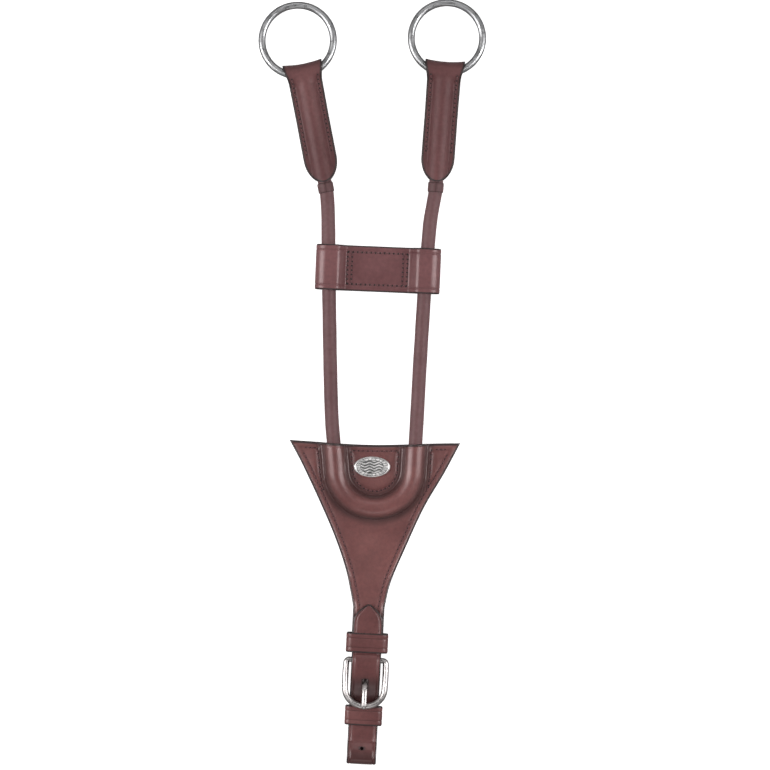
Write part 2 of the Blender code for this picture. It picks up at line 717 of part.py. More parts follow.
def band_path():
    """Closed loop: back layer, round end, over the cord, down to the panel, and back up."""
    t = BAND_T / 2
    r = (2 * Z_CORD - BAND_T) / 2
    end = BAND_HALF_LENGTH - t - r
    panel = BAND_CORE["z"][1] + 0.25 + t
    top = 2 * Z_CORD - t
    left, right = BAND_PANEL
    path = [Vector((a, t)) for a in (-20.0, 0.0, 20.0)]
    for k in range(13):
        a = math.radians(-90 + 15 * k)
        path.append(Vector((end + r * math.cos(a), Z_CORD + r * math.sin(a))))
    drop = [(0.0, 0.0), (0.12, 0.03), (0.3, 0.17), (0.5, 0.5), (0.7, 0.83), (0.88, 0.97), (1.0, 1.0)]
    start = 29.0
    path += [Vector((start + (right - start) * f, top + (panel - top) * g)) for f, g in drop]
    path += [Vector((0.0, panel))]
    path += [Vector((left + (-start - left) * (1 - f), top + (panel - top) * g)) for f, g in reversed(drop)]
    for k in range(13):
        a = math.radians(90 + 15 * k)
        path.append(Vector((-end + r * math.cos(a), Z_CORD + r * math.sin(a))))
    return path


def make_band():
    band = ribbon("slide_band", band_path(), BAND_T / 2, BAND_HALF_HEIGHT, band_place, "leather", closed=True,
                  bevel=0.45)
    put_origin(band, (BAND_CENTRE[0], BAND_CENTRE[1], 0))
    (a0, a1), b, (z0, z1) = BAND_CORE["a"], BAND_CORE["half_b"], BAND_CORE["z"]
    core = block("slide_core", (a0, z0, -b), (a1, z1, b), band_place)
    put_origin(core, (BAND_CENTRE[0], BAND_CENTRE[1], 0))


clear_scene()
make_bib()
make_cord_run()
make_badge()
make_billet()
make_chape()
make_keeper("keeper_upper", KEEPER_UPPER)
make_keeper("keeper_lower", KEEPER_LOWER)
make_buckle()
make_tongue()
for which in ("left", "right"):
    make_cord(which)
    make_tab(which)
    make_ring(which)
make_band()
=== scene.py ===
"""Looks of the running martingale attachment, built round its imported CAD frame.

Lengths are millimetres in the frame's own axes; solid() turns them into metres.
"""
import json
import math

import bmesh
import bpy
import numpy as np
from mathutils import Matrix, Vector, geometry


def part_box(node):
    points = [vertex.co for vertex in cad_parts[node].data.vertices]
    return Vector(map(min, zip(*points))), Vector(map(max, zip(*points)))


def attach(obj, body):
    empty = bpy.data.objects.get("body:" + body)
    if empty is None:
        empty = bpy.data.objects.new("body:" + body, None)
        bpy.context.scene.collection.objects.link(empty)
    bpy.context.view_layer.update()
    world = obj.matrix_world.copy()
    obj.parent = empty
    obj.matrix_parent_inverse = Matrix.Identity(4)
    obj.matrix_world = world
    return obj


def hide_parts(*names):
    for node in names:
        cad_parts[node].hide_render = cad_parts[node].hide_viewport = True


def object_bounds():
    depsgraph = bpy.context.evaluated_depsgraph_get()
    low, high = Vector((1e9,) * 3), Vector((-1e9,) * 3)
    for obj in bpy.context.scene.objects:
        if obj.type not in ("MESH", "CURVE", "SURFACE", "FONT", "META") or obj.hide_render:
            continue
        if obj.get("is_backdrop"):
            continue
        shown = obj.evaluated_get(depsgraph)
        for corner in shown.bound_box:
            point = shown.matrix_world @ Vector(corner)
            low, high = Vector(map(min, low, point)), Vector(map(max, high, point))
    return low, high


MM = 0.001
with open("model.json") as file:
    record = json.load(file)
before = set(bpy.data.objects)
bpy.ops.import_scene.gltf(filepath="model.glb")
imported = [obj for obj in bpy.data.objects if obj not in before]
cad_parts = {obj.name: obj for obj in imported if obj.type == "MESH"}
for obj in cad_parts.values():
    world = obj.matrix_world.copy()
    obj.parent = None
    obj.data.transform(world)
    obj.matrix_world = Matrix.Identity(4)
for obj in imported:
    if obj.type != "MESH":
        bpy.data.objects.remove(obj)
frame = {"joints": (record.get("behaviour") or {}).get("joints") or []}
CAD_BOX = [list(v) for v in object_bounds()]
JOINTS = {j["name"]: j for j in frame["joints"]}

# ---- shared sizes, as in the CAD ------------------------------------------
Z_CORD = 7.4
CORD_R = 4.9
CORE_R = 2.5
COVER_BORE_R = 2.75
RING_MEAN_R = 25.0
RING_WIRE_R = 2.5
HINGE_TO_RING = 23.2
TAB_LENGTH = 85.6
TAB_FOLD_R = 7.4
TAB_TIP_START = 68.5
TAB_BORDER_HALF = 2.2
TAB_ARCH_R = 7.3
TAB_BORE_R = 5.1
TAB_BORE_START = 24.0
RING_HOLE_R = 5.0
TAB_HALF_WIDTH = (
    (0.0, 13.9), (3.0, 13.9), (7.0, 13.1), (10.0, 12.3), (14.0, 11.8), (40.0, 11.6), (68.5, 11.7),
)
SLEEVE_L = (86.1, 92.9)
SLEEVE_OUTER_R = 5.55
SLEEVE_BORE_R = 5.0
SLEEVE_SIDES = 60
FRONT_Z = 1.6
LINING_T = 1.3
NECK_RISE = 5.1
NECK_RAMP = (-22.0, 4.0)
NECK_HALF = 11.0
FRONT_END_S = 31.0
LINING_END_S = 19.5
BEND_CENTRE = (1.85, -61.25)
BEND_R = 27.25
CHANNEL_R = 5.5
BAR_S = 39.3
BAR_Z = 7.35
STRAP_HALF = 10.3
STRAP_T = 2.0
STRAP_FACE_Z = 10.1
BUCKLE_HALF = 13.85
BUCKLE_WIRE_R = 2.3
BUCKLE_ARC_S = 59.2
BUCKLE_END_S = 71.5
BUCKLE_END_Z = 10.4
FOLD_S = 107.9
FOLD_Z = 6.05
FOLD_R = 3.55
BACK_Z = 2.5
BAND_HALF_LENGTH = 43.75
BAND_HALF_HEIGHT = 15.9
BAND_T = 2.2
BAND_PANEL = (-22.2, 21.2)
STITCH_PITCH = 3.2
HOLE_S = 101.2
HOLE_R = 1.15

TOP_EDGE = (
    (61.7, -43.3), (45.0, -43.5), (24.0, -44.2), (1.9, -44.5),
    (-20.0, -43.7), (-40.0, -42.2), (-58.0, -40.95),
)
LEFT_EDGE = (
    (-58.0, -40.95), (-49.5, -57.05), (-38.0, -81.55), (-26.8, -107.45), (-19.1, -129.85), (-15.3, -146.65),
)
RIGHT_EDGE = ((12.8, -141.05), (22.9, -117.25), (36.2, -88.55), (50.2, -64.75), (61.7, -43.3))
# The channel's outside: (distance from its middle line, height).
RIDGE_PROFILE = (
    (0.0, 14.8), (1.5, 14.65), (2.85, 14.25), (4.1, 13.6), (5.25, 12.65), (6.2, 11.5), (6.85, 10.3),
    (7.3, 9.0), (7.55, 7.6), (7.8, 6.0), (8.1, 4.7), (8.5, 3.98), (9.2, 3.74), (10.2, 3.78), (11.2, 3.8),
)


# ---------------------------------------------------------------- frames of reference
class Place:
    """A flat frame: (a, b, z) is a along one direction, b across it and z above the table."""

    def __init__(self, origin, along, a0=0.0):
        self.origin = Vector(origin[:2])
        self.along = Vector(along[:2]).normalized()
        self.across = Vector((-self.along.y, self.along.x))
        self.a0 = a0

    def __call__(self, a, b, z):
        p = self.origin + self.along * (a - self.a0) + self.across * b
        return (p.x, p.y, z)

    def back(self, points):
        d = points[:, :2] - np.array(self.origin)
        a = d @ np.array(self.along) + self.a0
        b = d @ np.array(self.across)
        return a, b


def mm(vector):
    return [v / MM for v in vector]


def box_mm(node):
    """Lowest and highest corner of a CAD node's box."""
    return [np.array(mm(v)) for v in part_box(node)]


def flat(points):
    """Plane points as an array."""
    return np.array([tuple(p) for p in points])


def polar(centre, r, degrees):
    """Point of a circle in the plane."""
    a = math.radians(degrees)
    return Vector((centre[0] + r * math.cos(a), centre[1] + r * math.sin(a)))


def tab_place(side):
    j = JOINTS[f"ring_{side}_swing"]
    ax, ay, _ = j["axis"]
    return Place(mm(j["pos_m"]), (ay, -ax), TAB_FOLD_R)


TAB = {side: tab_place(side) for side in ("left", "right")}
STRAP = Place(mm(JOINTS["buckle_swing"]["pos_m"]), JOINTS["keeper_slide"]["axis"], BAR_S)
CORE_BOX = box_mm("slide_core")
BAND = Place((CORE_BOX[0] + CORE_BOX[1]) / 2 + np.array((0.5, 0.0, 0.0)), JOINTS["band_slide"]["axis"])
LEG_DIR = {side: Vector(JOINTS[f"fork_{side}_slide"]["axis"][:2]) for side in ("left", "right")}
LEG_FOOT = {
    "left": (BEND_CENTRE[0] - BEND_R, BEND_CENTRE[1]),
    "right": (BEND_CENTRE[0] + BEND_R, BEND_CENTRE[1]),
}


def leg_point(side, y):
    foot, down = Vector(LEG_FOOT[side]), LEG_DIR[side]
    p = foot + down * ((y - foot.y) / down.y)
    return (p.x, p.y)


# ---------------------------------------------------------------- curves and maths
def smooth(points, per_span):
    """Catmull-Rom curve through the points."""
    pts = [Vector(p) for p in points]
    pts = [2 * pts[0] - pts[1]] + pts + [2 * pts[-1] - pts[-2]]
    out = []
    for i in range(1, len(pts) - 2):
        p0, p1, p2, p3 = pts[i - 1:i + 3]
        for k in range(per_span):
            t = k / per_span
            out.append(0.5 * ((2 * p1) + (p2 - p0) * t + (2 * p0 - 5 * p1 + 4 * p2 - p3) * t * t
                              + (3 * p1 - 3 * p2 + p3 - p0) * t ** 3))
    out.append(pts[-2])
    return out


def resample(points, step, closed=False):
    """Points at equal steps along a polyline."""
    pts = [Vector(p) for p in points]
    if closed:
        pts.append(pts[0])
    lengths = [0.0]
    for a, b in zip(pts, pts[1:]):
        lengths.append(lengths[-1] + (b - a).length)
    count = max(2, round(lengths[-1] / step))
    out, k = [], 0
    for i in range(count if closed else count + 1):
        want = lengths[-1] * i / count
        while k < len(pts) - 2 and lengths[k + 1] < want:
            k += 1
        span = lengths[k + 1] - lengths[k]
        out.append(pts[k].lerp(pts[k + 1], (want - lengths[k]) / span if span else 0.0))
    return out


def step01(low, high, x):
    """0 below low, 1 above high and smooth between; with low above high it falls instead."""
    t = np.clip((np.asarray(x, float) - low) / (high - low), 0, 1)
    return t * t * (3 - 2 * t)


def bump01(x, half):
    """A smooth bump of height 1 at 0 that is gone at plus and minus half."""
    t = np.clip(1 - np.abs(np.asarray(x, float)) / half, 0, 1)
    return t * t * (3 - 2 * t)


def directions(path, closed=False):
    out = []
    for i in range(len(path)):
        if closed:
            ahead, behind = path[(i + 1) % len(path)], path[i - 1]
        else:
            ahead, behind = path[min(i + 1, len(path) - 1)], path[max(i - 1, 0)]
        out.append((ahead - behind).normalized())
    return out


def polyline_distance(points, line, closed=False):
    """Distance of each point to a polyline, both in the plane."""
    line = np.asarray(line, float)
    ends = np.roll(line, -1, axis=0) if closed else line[1:]
    starts = line if closed else line[:-1]
    best = np.full(len(points), 1e9)
    for a, b in zip(starts, ends):
        ab = b - a
        t = np.clip(((points - a) @ ab) / max(ab @ ab, 1e-12), 0, 1)
        gap = points - (a + t[:, None] * ab)
        best = np.minimum(best, np.einsum("ij,ij->i", gap, gap))
    return np.sqrt(best)


def inside(points, loop):
    """Which of the points lie inside a closed outline."""
    loop = np.asarray(loop, float)
    x, y = points[:, 0], points[:, 1]
    hit = np.zeros(len(points), bool)
    for (x0, y0), (x1, y1) in zip(loop, np.roll(loop, -1, axis=0)):
        if y0 == y1:
            continue
        crosses = (y0 > y) != (y1 > y)
        hit ^= crosses & (x < (x1 - x0) * (y - y0) / (y1 - y0) + x0)
    return hit


# ---------------------------------------------------------------- meshes
def solid(name, verts, faces, smooth_angle=40.0):
    mesh = bpy.data.meshes.new(name)
    mesh.from_pydata([(v[0] * MM, v[1] * MM, v[2] * MM) for v in verts], [], faces)
    bm = bmesh.new()
    bm.from_mesh(mesh)
    bmesh.ops.recalc_face_normals(bm, faces=bm.faces)
    bm.to_mesh(mesh)
    bm.free()
    obj = bpy.data.objects.new(name, mesh)
    bpy.context.scene.collection.objects.link(obj)
    shade(obj, smooth_angle)
    return obj


def shade(obj, angle):
    obj.data.polygons.foreach_set("use_smooth", [True] * len(obj.data.polygons))
    obj.data.set_sharp_from_angle(angle=math.radians(angle))


def loft(rings, closed=False):
    """Vertices and faces of a skin over rings of equal length, capped unless it closes on itself."""
    count = len(rings[0])
    verts = [p for ring in rings for p in ring]
    faces = []
    for i in range(len(rings) if closed else len(rings) - 1):
        base, ahead = i * count, (i + 1) % len(rings) * count
        for j in range(count):
            k = (j + 1) % count
            faces.append((base + j, base + k, ahead + k, ahead + j))
    if not closed:
        faces.append(tuple(range(count - 1, -1, -1)))
        faces.append(tuple(range(len(verts) - count, len(verts))))
    return verts, faces


def round_rings(path, radius, sides, ref, closed=False, turn=0.0):
    """Rings of a tube whose path lies square to ref; radius may be a function of (i, angle)."""
    up = Vector(ref).normalized()
    rings = []
    for i, (point, along) in enumerate(zip(path, directions(path, closed))):
        side = along.cross(up).normalized()
        ring = []
        for k in range(sides):
            a = 2 * math.pi * k / sides + turn
            r = radius(i, a) if callable(radius) else radius
            ring.append(point + side * r * math.cos(a) + up * r * math.sin(a))
        rings.append(ring)
    return rings


def cut(obj, tool, operation="DIFFERENCE"):
    """Boolean with a tool object, applied to the mesh; the tool is deleted."""
    mod = obj.modifiers.new("cut", "BOOLEAN")
    mod.operation = operation
    mod.solver = "EXACT"
    mod.object = tool
    graph = bpy.context.evaluated_depsgraph_get()
    mesh = bpy.data.meshes.new_from_object(obj.evaluated_get(graph))
    obj.modifiers.clear()
    obj.data = mesh
    bpy.data.objects.remove(tool)
    shade(obj, 40)


def cylinder(start, end, r0, r1, sides, ref):
    path = [Vector(start), Vector(end)]
    return solid("tool", *loft(round_rings(path, lambda i, a: (r0, r1)[i], sides, ref)))


def paint(obj, name, values):
    """Per-vertex share for the materials: "edge" is edge paint and the other share darkens, mostly as painted
    shade in creases, stitch rows and hollows, and as real seams and tarnish.
    """
    attribute = obj.data.attributes.get(name) or obj.data.attributes.new(name, "FLOAT", "POINT")
    attribute.data.foreach_set("value", np.asarray(values, np.float32))


def painted(obj, name):
    values = np.zeros(len(obj.data.vertices), np.float32)
    obj.data.attributes[name].data.foreach_get("value", values)
    return values


def coords(obj):
    co = np.zeros(len(obj.data.vertices) * 3)
    obj.data.vertices.foreach_get("co", co)
    return co.reshape(-1, 3) / MM


def show(obj, material, body, nodes=()):
    """Gives a piece its material and the body it rides on, and hides the CAD nodes it stands for."""
    obj.data.materials.clear()
    obj.data.materials.append(material)
    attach(obj, body)
    if nodes:
        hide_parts(*nodes)
    return obj


# ---------------------------------------------------------------- materials
class Nodes:
    """Short way to build a node material."""

    def __init__(self, name):
        self.material = bpy.data.materials.new(name)
        self.material.use_nodes = True
        self.tree = self.material.node_tree
        self.shader = self.tree.nodes["Principled BSDF"]
        self.coordinates = self.add("ShaderNodeTexCoord").outputs["Object"]

    def add(self, kind, **values):
        node = self.tree.nodes.new(kind)
        for key, value in values.items():
            setattr(node, key, value)
        return node

    def link(self, out, socket):
        self.tree.links.new(out, socket)

    def noise(self, scale, detail=3.0, rough=0.55, vector=None):
        node = self.add("ShaderNodeTexNoise")
        node.inputs["Scale"].default_value = scale
        node.inputs["Detail"].default_value = detail
        node.inputs["Roughness"].default_value = rough
        self.link(vector or self.coordinates, node.inputs["Vector"])
        return node.outputs["Fac"]

    def stretch(self, scale):
        node = self.add("ShaderNodeMapping")
        node.inputs["Scale"].default_value = scale
        self.link(self.coordinates, node.inputs["Vector"])
        return node.outputs["Vector"]

    def cells(self, scale):
        node = self.add("ShaderNodeTexVoronoi")
        node.feature = "SMOOTH_F1"
        node.inputs["Scale"].default_value = scale
        self.link(self.coordinates, node.inputs["Vector"])
        return node.outputs["Distance"]

    def ramp(self, value, low, high, a=0.0, b=1.0):
        node = self.add("ShaderNodeMapRange")
        for key, number in zip(("From Min", "From Max", "To Min", "To Max"), (low, high, a, b)):
            node.inputs[key].default_value = number
        self.link(value, node.inputs["Value"])
        return node.outputs["Result"]

    def mix(self, factor, a, b, blend="MIX"):
        node = self.add("ShaderNodeMix", data_type="RGBA", blend_type=blend)
        if isinstance(factor, float):
            node.inputs[0].default_value = factor
        else:
            self.link(factor, node.inputs[0])
        for socket, value in ((node.inputs[6], a), (node.inputs[7], b)):
            if isinstance(value, tuple):
                socket.default_value = (*value, 1.0)
            else:
                self.link(value, socket)
        return node.outputs[2]

    def attribute(self, name):
        return self.add("ShaderNodeAttribute", attribute_name=name).outputs["Fac"]

    def bump(self, height, strength, distance, normal=None):
        node = self.add("ShaderNodeBump")
        node.inputs["Strength"].default_value = strength
        node.inputs["Distance"].default_value = distance
        self.link(height, node.inputs["Height"])
        if normal:
            self.link(normal, node.inputs["Normal"])
        return node.outputs["Normal"]

    def colour(self, value):
        self.link(value, self.shader.inputs["Base Color"])

    def set(self, **values):
        for key, value in values.items():
            self.shader.inputs[key.replace("_", " ")].default_value = value


LEATHER_LIGHT = (0.205, 0.075, 0.070)
LEATHER_DARK = (0.138, 0.046, 0.044)
EDGE_PAINT = (0.022, 0.014, 0.014)
TARNISH = (0.03, 0.03, 0.032)


def leather(name, light, dark, roughness, coat, level=0.55):
    """Dyed leather: soft patches, mottle, pores and wrinkles, with painted edges and a darkening share that
    is painted shade in creases, stitch rows and hollows, and real seams elsewhere.
    """
    m = Nodes(name)
    patches = m.ramp(m.noise(30.0, 4.0), 0.35, 0.68)
    base = m.mix(patches, dark, light)
    mottle = m.ramp(m.noise(420.0, 3.0, 0.6), 0.3, 0.75, 0.86, 1.12)
    tint = m.add("ShaderNodeCombineColor")
    for socket in tint.inputs[:3]:
        m.link(mottle, socket)
    base = m.mix(1.0, base, tint.outputs["Color"], "MULTIPLY")
    pores = m.cells(1500.0)
    fine = m.noise(3800.0, 2.0)
    base = m.mix(m.ramp(pores, 0.0, 0.22, 0.35, 0.0), base, dark)
    # Painted shade: the darkening share pulls the colour to a deep tone in creases, stitch rows and hollows;
    # on the cords it marks seams.
    base = m.mix(m.attribute("shade_and_stain"), base, tuple(c * 0.30 for c in dark))
    edge = m.attribute("edge")
    m.colour(m.mix(edge, base, EDGE_PAINT))
    gloss = m.ramp(m.noise(160.0, 3.0), 0.3, 0.7, roughness - 0.05, roughness + 0.07)
    m.link(gloss, m.shader.inputs["Roughness"])
    wrinkle = m.bump(m.noise(95.0, 3.0), 0.25, 0.0006)
    pitted = m.bump(pores, 0.35, 0.00012, wrinkle)
    m.link(m.bump(fine, 0.25, 0.00008, pitted), m.shader.inputs["Normal"])
    m.set(Coat_Weight=coat, Coat_Roughness=0.30, Specular_IOR_Level=level)
    m.set(Sheen_Weight=0.05, Sheen_Roughness=0.5)
    m.set(Specular_Tint=(1.0, 0.80, 0.80, 1.0))
    return m.material


def steel(name, colour, roughness):
    m = Nodes(name)
    # Roughness that varies with wear.
    wear_and_shade = m.ramp(m.noise(300.0, 4.0), 0.35, 0.7, roughness * 0.75, roughness * 1.5)
    m.link(wear_and_shade, m.shader.inputs["Roughness"])
    shade_ = m.ramp(m.noise(120.0, 3.0), 0.3, 0.7)
    clean = m.mix(shade_, tuple(c * 0.93 for c in colour), colour)
    m.colour(m.mix(m.attribute("shade_and_stain"), clean, TARNISH))
    scratches = m.noise(900.0, 3.0, 0.6, m.stretch((1.0, 0.12, 1.0)))
    m.link(m.bump(scratches, 0.04, 0.00002), m.shader.inputs["Normal"])
    m.set(Metallic=1.0)
    return m.material


def thread(name, colour):
    m = Nodes(name)
    twist = m.noise(2600.0, 2.0)
    m.colour(m.mix(m.ramp(twist, 0.3, 0.7), tuple(c * 0.6 for c in colour), colour))
    m.link(m.bump(twist, 0.5, 0.0001), m.shader.inputs["Normal"])
    m.set(Roughness=0.62, Sheen_Weight=0.3)
    return m.material


def fibre(name):
    m = Nodes(name)
    strands = m.noise(1400.0, 3.0, 0.6)
    m.colour(m.mix(m.ramp(strands, 0.3, 0.7), (0.30, 0.25, 0.19), (0.50, 0.44, 0.35)))
    m.link(m.bump(strands, 0.6, 0.0002), m.shader.inputs["Normal"])
    m.set(Roughness=0.9)
    return m.material


LINING_LIGHT, LINING_DARK = (0.22, 0.105, 0.085), (0.15, 0.068, 0.055)
TAB_LIGHT, TAB_DARK = (0.158, 0.060, 0.060), (0.105, 0.036, 0.037)
BAND_LIGHT, BAND_DARK = (0.190, 0.076, 0.079), (0.135, 0.049, 0.052)
STRAP_LIGHT, STRAP_DARK = (0.180, 0.067, 0.064), (0.120, 0.040, 0.039)
CORD_LIGHT, CORD_DARK = (0.158, 0.077, 0.080), (0.118, 0.053, 0.056)
# Each leather: light and dark tone, roughness, coat, and specular level where it isn't the usual.
BODY_LEATHER = leather("leather_body", LEATHER_LIGHT, LEATHER_DARK, 0.37, 0.34, 0.75)
TAB_LEATHER = leather("leather_tab", TAB_LIGHT, TAB_DARK, 0.57, 0.06)
BAND_LEATHER = leather("leather_band", BAND_LIGHT, BAND_DARK, 0.38, 0.4)
STRAP_LEATHER = leather("leather_strap", STRAP_LIGHT, STRAP_DARK, 0.38, 0.3)
CORD_LEATHER = leather("leather_cord", CORD_LIGHT, CORD_DARK, 0.58, 0.05)
LINING_LEATHER = leather("leather_lining", LINING_LIGHT, LINING_DARK, 0.58, 0.0)
STEEL = steel("polished_steel", (0.55, 0.55, 0.56), 0.36)
BUCKLE_METAL = steel("buckle_metal", (0.70, 0.66, 0.65), 0.34)
BADGE_METAL = steel("badge_metal", (0.97, 0.95, 0.94), 0.42)
# The stitch holes are dark discs of painted shade, built with the thread material's recipe.
HOLE_SHADE = thread("stitch_hole_shade", (0.026, 0.007, 0.008))
THREAD = thread("stitch_thread", (0.165, 0.050, 0.054))
FIBRE = fibre("cord_core_fibre")


# ---------------------------------------------------------------- stitches
THREAD_R = 0.50
THREAD_SLANT = 0.22
BACK_STITCH_Z = 0.58
# One stitch: (share of the pitch, height over the leather, thickness as a share of THREAD_R).
THREAD_STATIONS = (
    (0.10, -0.60, 0.45), (0.16, -0.15, 0.85), (0.30, 0.12, 1.0), (0.5, 0.20, 1.05),
    (0.70, 0.12, 1.0), (0.84, -0.15, 0.85), (0.90, -0.60, 0.45),
)
# Half size of each hole's dark disc of painted shade: along the row, and across it.
HOLE_HALF = (0.70, 0.72)


def ring_shape(place, count):
    """Closed loop of count points, place(cosine, sine) giving each one."""
    angles = [2 * math.pi * k / count for k in range(count)]
    return [place(math.cos(a), math.sin(a)) for a in angles]


def append_loft(verts, faces, rings):
    more_verts, more_faces = loft(rings)
    faces += [tuple(j + len(verts) for j in face) for face in more_faces]
    verts += more_verts


def line_walker(pts):
    """A function giving the point and direction at a distance along a polyline, and the polyline's length."""
    lengths = [0.0]
    for a, b in zip(pts, pts[1:]):
        lengths.append(lengths[-1] + (b - a).length)

    def at(t):
        k = min(len(pts) - 2, max(0, int(t / lengths[-1] * (len(pts) - 1))))
        while k < len(pts) - 2 and lengths[k + 1] < t:
            k += 1
        while k > 0 and lengths[k] > t:
            k -= 1
        f = (t - lengths[k]) / (lengths[k + 1] - lengths[k])
        return pts[k].lerp(pts[k + 1], f), (pts[k + 1] - pts[k]).normalized()

    return at, lengths[-1]


def stitch_row(name, line, surface, body, margin=0.0):
    """Separate thread stitches along a line, and dark discs of painted shade for the holes between them.

    surface(x, y) gives (z, outward sign).
    """
    at, length = line_walker(resample(line, 0.5))
    total = length - 2 * margin
    count = max(1, round(total / STITCH_PITCH))
    real = total / count

    def thread_ring(i, f, lift, fat):
        p, along = at(margin + (i + f) * real)
        side = Vector((-along.y, along.x))
        q = p + side * THREAD_SLANT * (f - 0.5) * 2
        z, sign = surface(q.x, q.y)
        r = THREAD_R * fat
        return ring_shape(
            lambda c, s: (q.x + side.x * r * c, q.y + side.y * r * c, z + sign * (lift + r * s)), 8)

    # Each hole is a dark disc of painted shade lying just on the surface.
    def hole_shade_rings(i):
        p, along = at(margin + i * real)
        side = Vector((-along.y, along.x))
        z, sign = surface(p.x, p.y)
        proud = z if surface is under_surface else 0.0
        rings = []
        for size, lift in ((1.0, -0.25), (1.0, proud + 0.02), (0.6, proud + 0.07)):
            u, v = along * HOLE_HALF[0] * size, side * HOLE_HALF[1] * size
            height = z + sign * lift
            rings.append(ring_shape(
                lambda c, s: (p.x + u.x * c + v.x * s, p.y + u.y * c + v.y * s, height), 10))
        return rings

    verts, faces = [], []
    for i in range(count):
        append_loft(verts, faces, [thread_ring(i, *station) for station in THREAD_STATIONS])
    show(solid(name, verts, faces, 60), THREAD, body)
    verts, faces = [], []
    for i in range(count + 1):
        append_loft(verts, faces, hole_shade_rings(i))
    show(solid(name.replace("stitch_", "hole_shades_"), verts, faces, 60), HOLE_SHADE, body)


# ---------------------------------------------------------------- strips
def strip_section(t, crease, crease_shade):
    """Half of a strip's cross-section, face to back: (inset from the edge, offset, edge paint, painted
    shade).
    """
    k = t / 1.1
    rows = []
    # The crease groove gets painted shade, strongest at its bottom.
    if crease:
        rows += [(crease + 1.5, 0.0, 0, 0), (crease + 0.7, 0.0, 0, 0), (crease + 0.45, -0.08, 0, 0.05),
                 (crease, -0.30, 0, crease_shade), (crease - 0.40, -0.08, 0, 0.05), (crease - 0.6, 0.0, 0, 0)]
    else:
        rows += [(2.6, 0.0, 0, 0)]
    rows += [(1.25, -0.01, 0, 0), (1.0, -0.04, 0.25, 0), (0.75, -0.11, 0.95, 0), (0.42, -0.27, 1, 0),
             (0.15, -0.5, 1, 0), (0.0, -0.78, 1, 0)]
    face = [(i, t + o * k, e, s) for i, o, e, s in rows]
    back = [(i, -t - o * k, e, 0) for i, o, e, s in rows[-6:]][::-1]
    return face + [(0.0, 0.0, 1, 0)] + back + [(2.6, -t, 0.0, 0.0)]


def strip(name, path, t, half_width, place, crease, closed=False, middle=4, crease_shade=0.25):
    """Leather strip along a path in (a, z), its width along b, its face on the path's left."""
    section = strip_section(t, crease, crease_shade)
    # Each ring carries its section's painted crease shade.
    rings, edge, shade_and_stain = [], [], []
    for i, (point, along) in enumerate(zip(path, directions(path, closed))):
        w = half_width(i) if callable(half_width) else half_width
        normal = Vector((-along.y, along.x))

        def put(b, off):
            q = point + normal * off
            return place(q.x, q.y, b)

        def inset(value):
            return w - value * min(1.0, w / 6.0)

        ring, ring_edge, ring_crease_shade = [], [], []
        for sign in (1, -1):
            half = section if sign == 1 else section[::-1]
            for value, off, e, s in half:
                ring.append(put(sign * inset(value), off))
                ring_edge.append(e)
                ring_crease_shade.append(s)
            inner = inset(section[-1][0] if sign == 1 else section[0][0])
            off = section[-1][1] if sign == 1 else section[0][1]
            for k in range(1, middle):
                b = sign * inner * (1 - 2 * k / middle)
                ring.append(put(b, off))
                ring_edge.append(0)
                ring_crease_shade.append(0)
        rings.append(ring)
        edge += ring_edge
        shade_and_stain += ring_crease_shade
    obj = solid(name, *loft(rings, closed), smooth_angle=60)
    if not closed:
        count = len(rings[0])
        edge[:count] = [1] * count
        edge[-count:] = [1] * count
    paint(obj, "edge", edge)
    paint(obj, "shade_and_stain", shade_and_stain)
    return obj


# ---------------------------------------------------------------- bib
def bib_sides():
    """The bib's left side from the top corner down to the neck, and its right side back up."""
    left = smooth(LEFT_EDGE + (STRAP(2.0, -NECK_HALF, 0)[:2],), 8)
    return left, smooth((STRAP(2.0, NECK_HALF, 0)[:2],) + RIGHT_EDGE, 8)


def bib_outline(end_s):
    left, right = bib_sides()
    foot = [Vector(STRAP(end_s, u, 0)[:2]) for u in (-NECK_HALF, NECK_HALF)]
    return left + foot + right + smooth(TOP_EDGE, 6)[1:-1]


def channel_path(step):
    """Middle line of the raised channel, from the left mouth round the bend to the right one."""
    left, right = ([Vector(leg_point(side, y)) for y in (-38.0, -50.0, -58.0)] for side in ("left", "right"))
    arc = []
    for k in range(41):
        a = math.pi + math.pi * k / 40
        arc.append(Vector((BEND_CENTRE[0] + BEND_R * math.cos(a), BEND_CENTRE[1] + BEND_R * math.sin(a))))
    return resample(left + arc + right[::-1], step)


CHANNEL = channel_path(1.4)
CHANNEL_LINE = flat(CHANNEL)
RIDGE_CURVE = flat(smooth(RIDGE_PROFILE, 5))
BIB_LOOP = flat(resample(bib_outline(FRONT_END_S), 1.0, True))
EDGE_CREASE = 2.0
STITCH_INSET = 4.4
STITCH_CHANNEL = 11.6
CHANNEL_ROW_END = -76.0
CHANNEL_CLEAR = 11
ROW_HALF = 1.4
FACE_ROUND = 1.1
BACK_ROUND = 0.5


def neck_lift(points):
    a, _ = STRAP.back(points)
    return NECK_RISE * step01(NECK_RAMP[0], NECK_RAMP[1], a)


def bib_top(points):
    """Height of the bib's front face at points of the plane."""
    d = polyline_distance(points, CHANNEL_LINE)
    e = polyline_distance(points, BIB_LOOP, True)
    z = np.interp(d, RIDGE_CURVE[:, 0], RIDGE_CURVE[:, 1])
    z = z + 0.35 * bump01(d - 15.0, 4.5) * (d > 10) * step01(4.5, 7.0, e)
    z = z - 0.36 * bump01(e - EDGE_CREASE, 0.85)
    z = z - 0.30 * bump01(e - STITCH_INSET, ROW_HALF) * (d > CHANNEL_CLEAR)
    z = z - 0.30 * bump01(d - STITCH_CHANNEL, ROW_HALF) * row_share(points)
    return z - round_edge(e, FACE_ROUND, FACE_ROUND) + neck_lift(points)


def round_edge(e, reach, depth):
    """How far a face drops near its outline, at distances e from it, on a quarter ellipse."""
    rounding = np.clip(1 - e / reach, 0, 1)
    return depth * (1 - np.sqrt(1 - rounding ** 2))


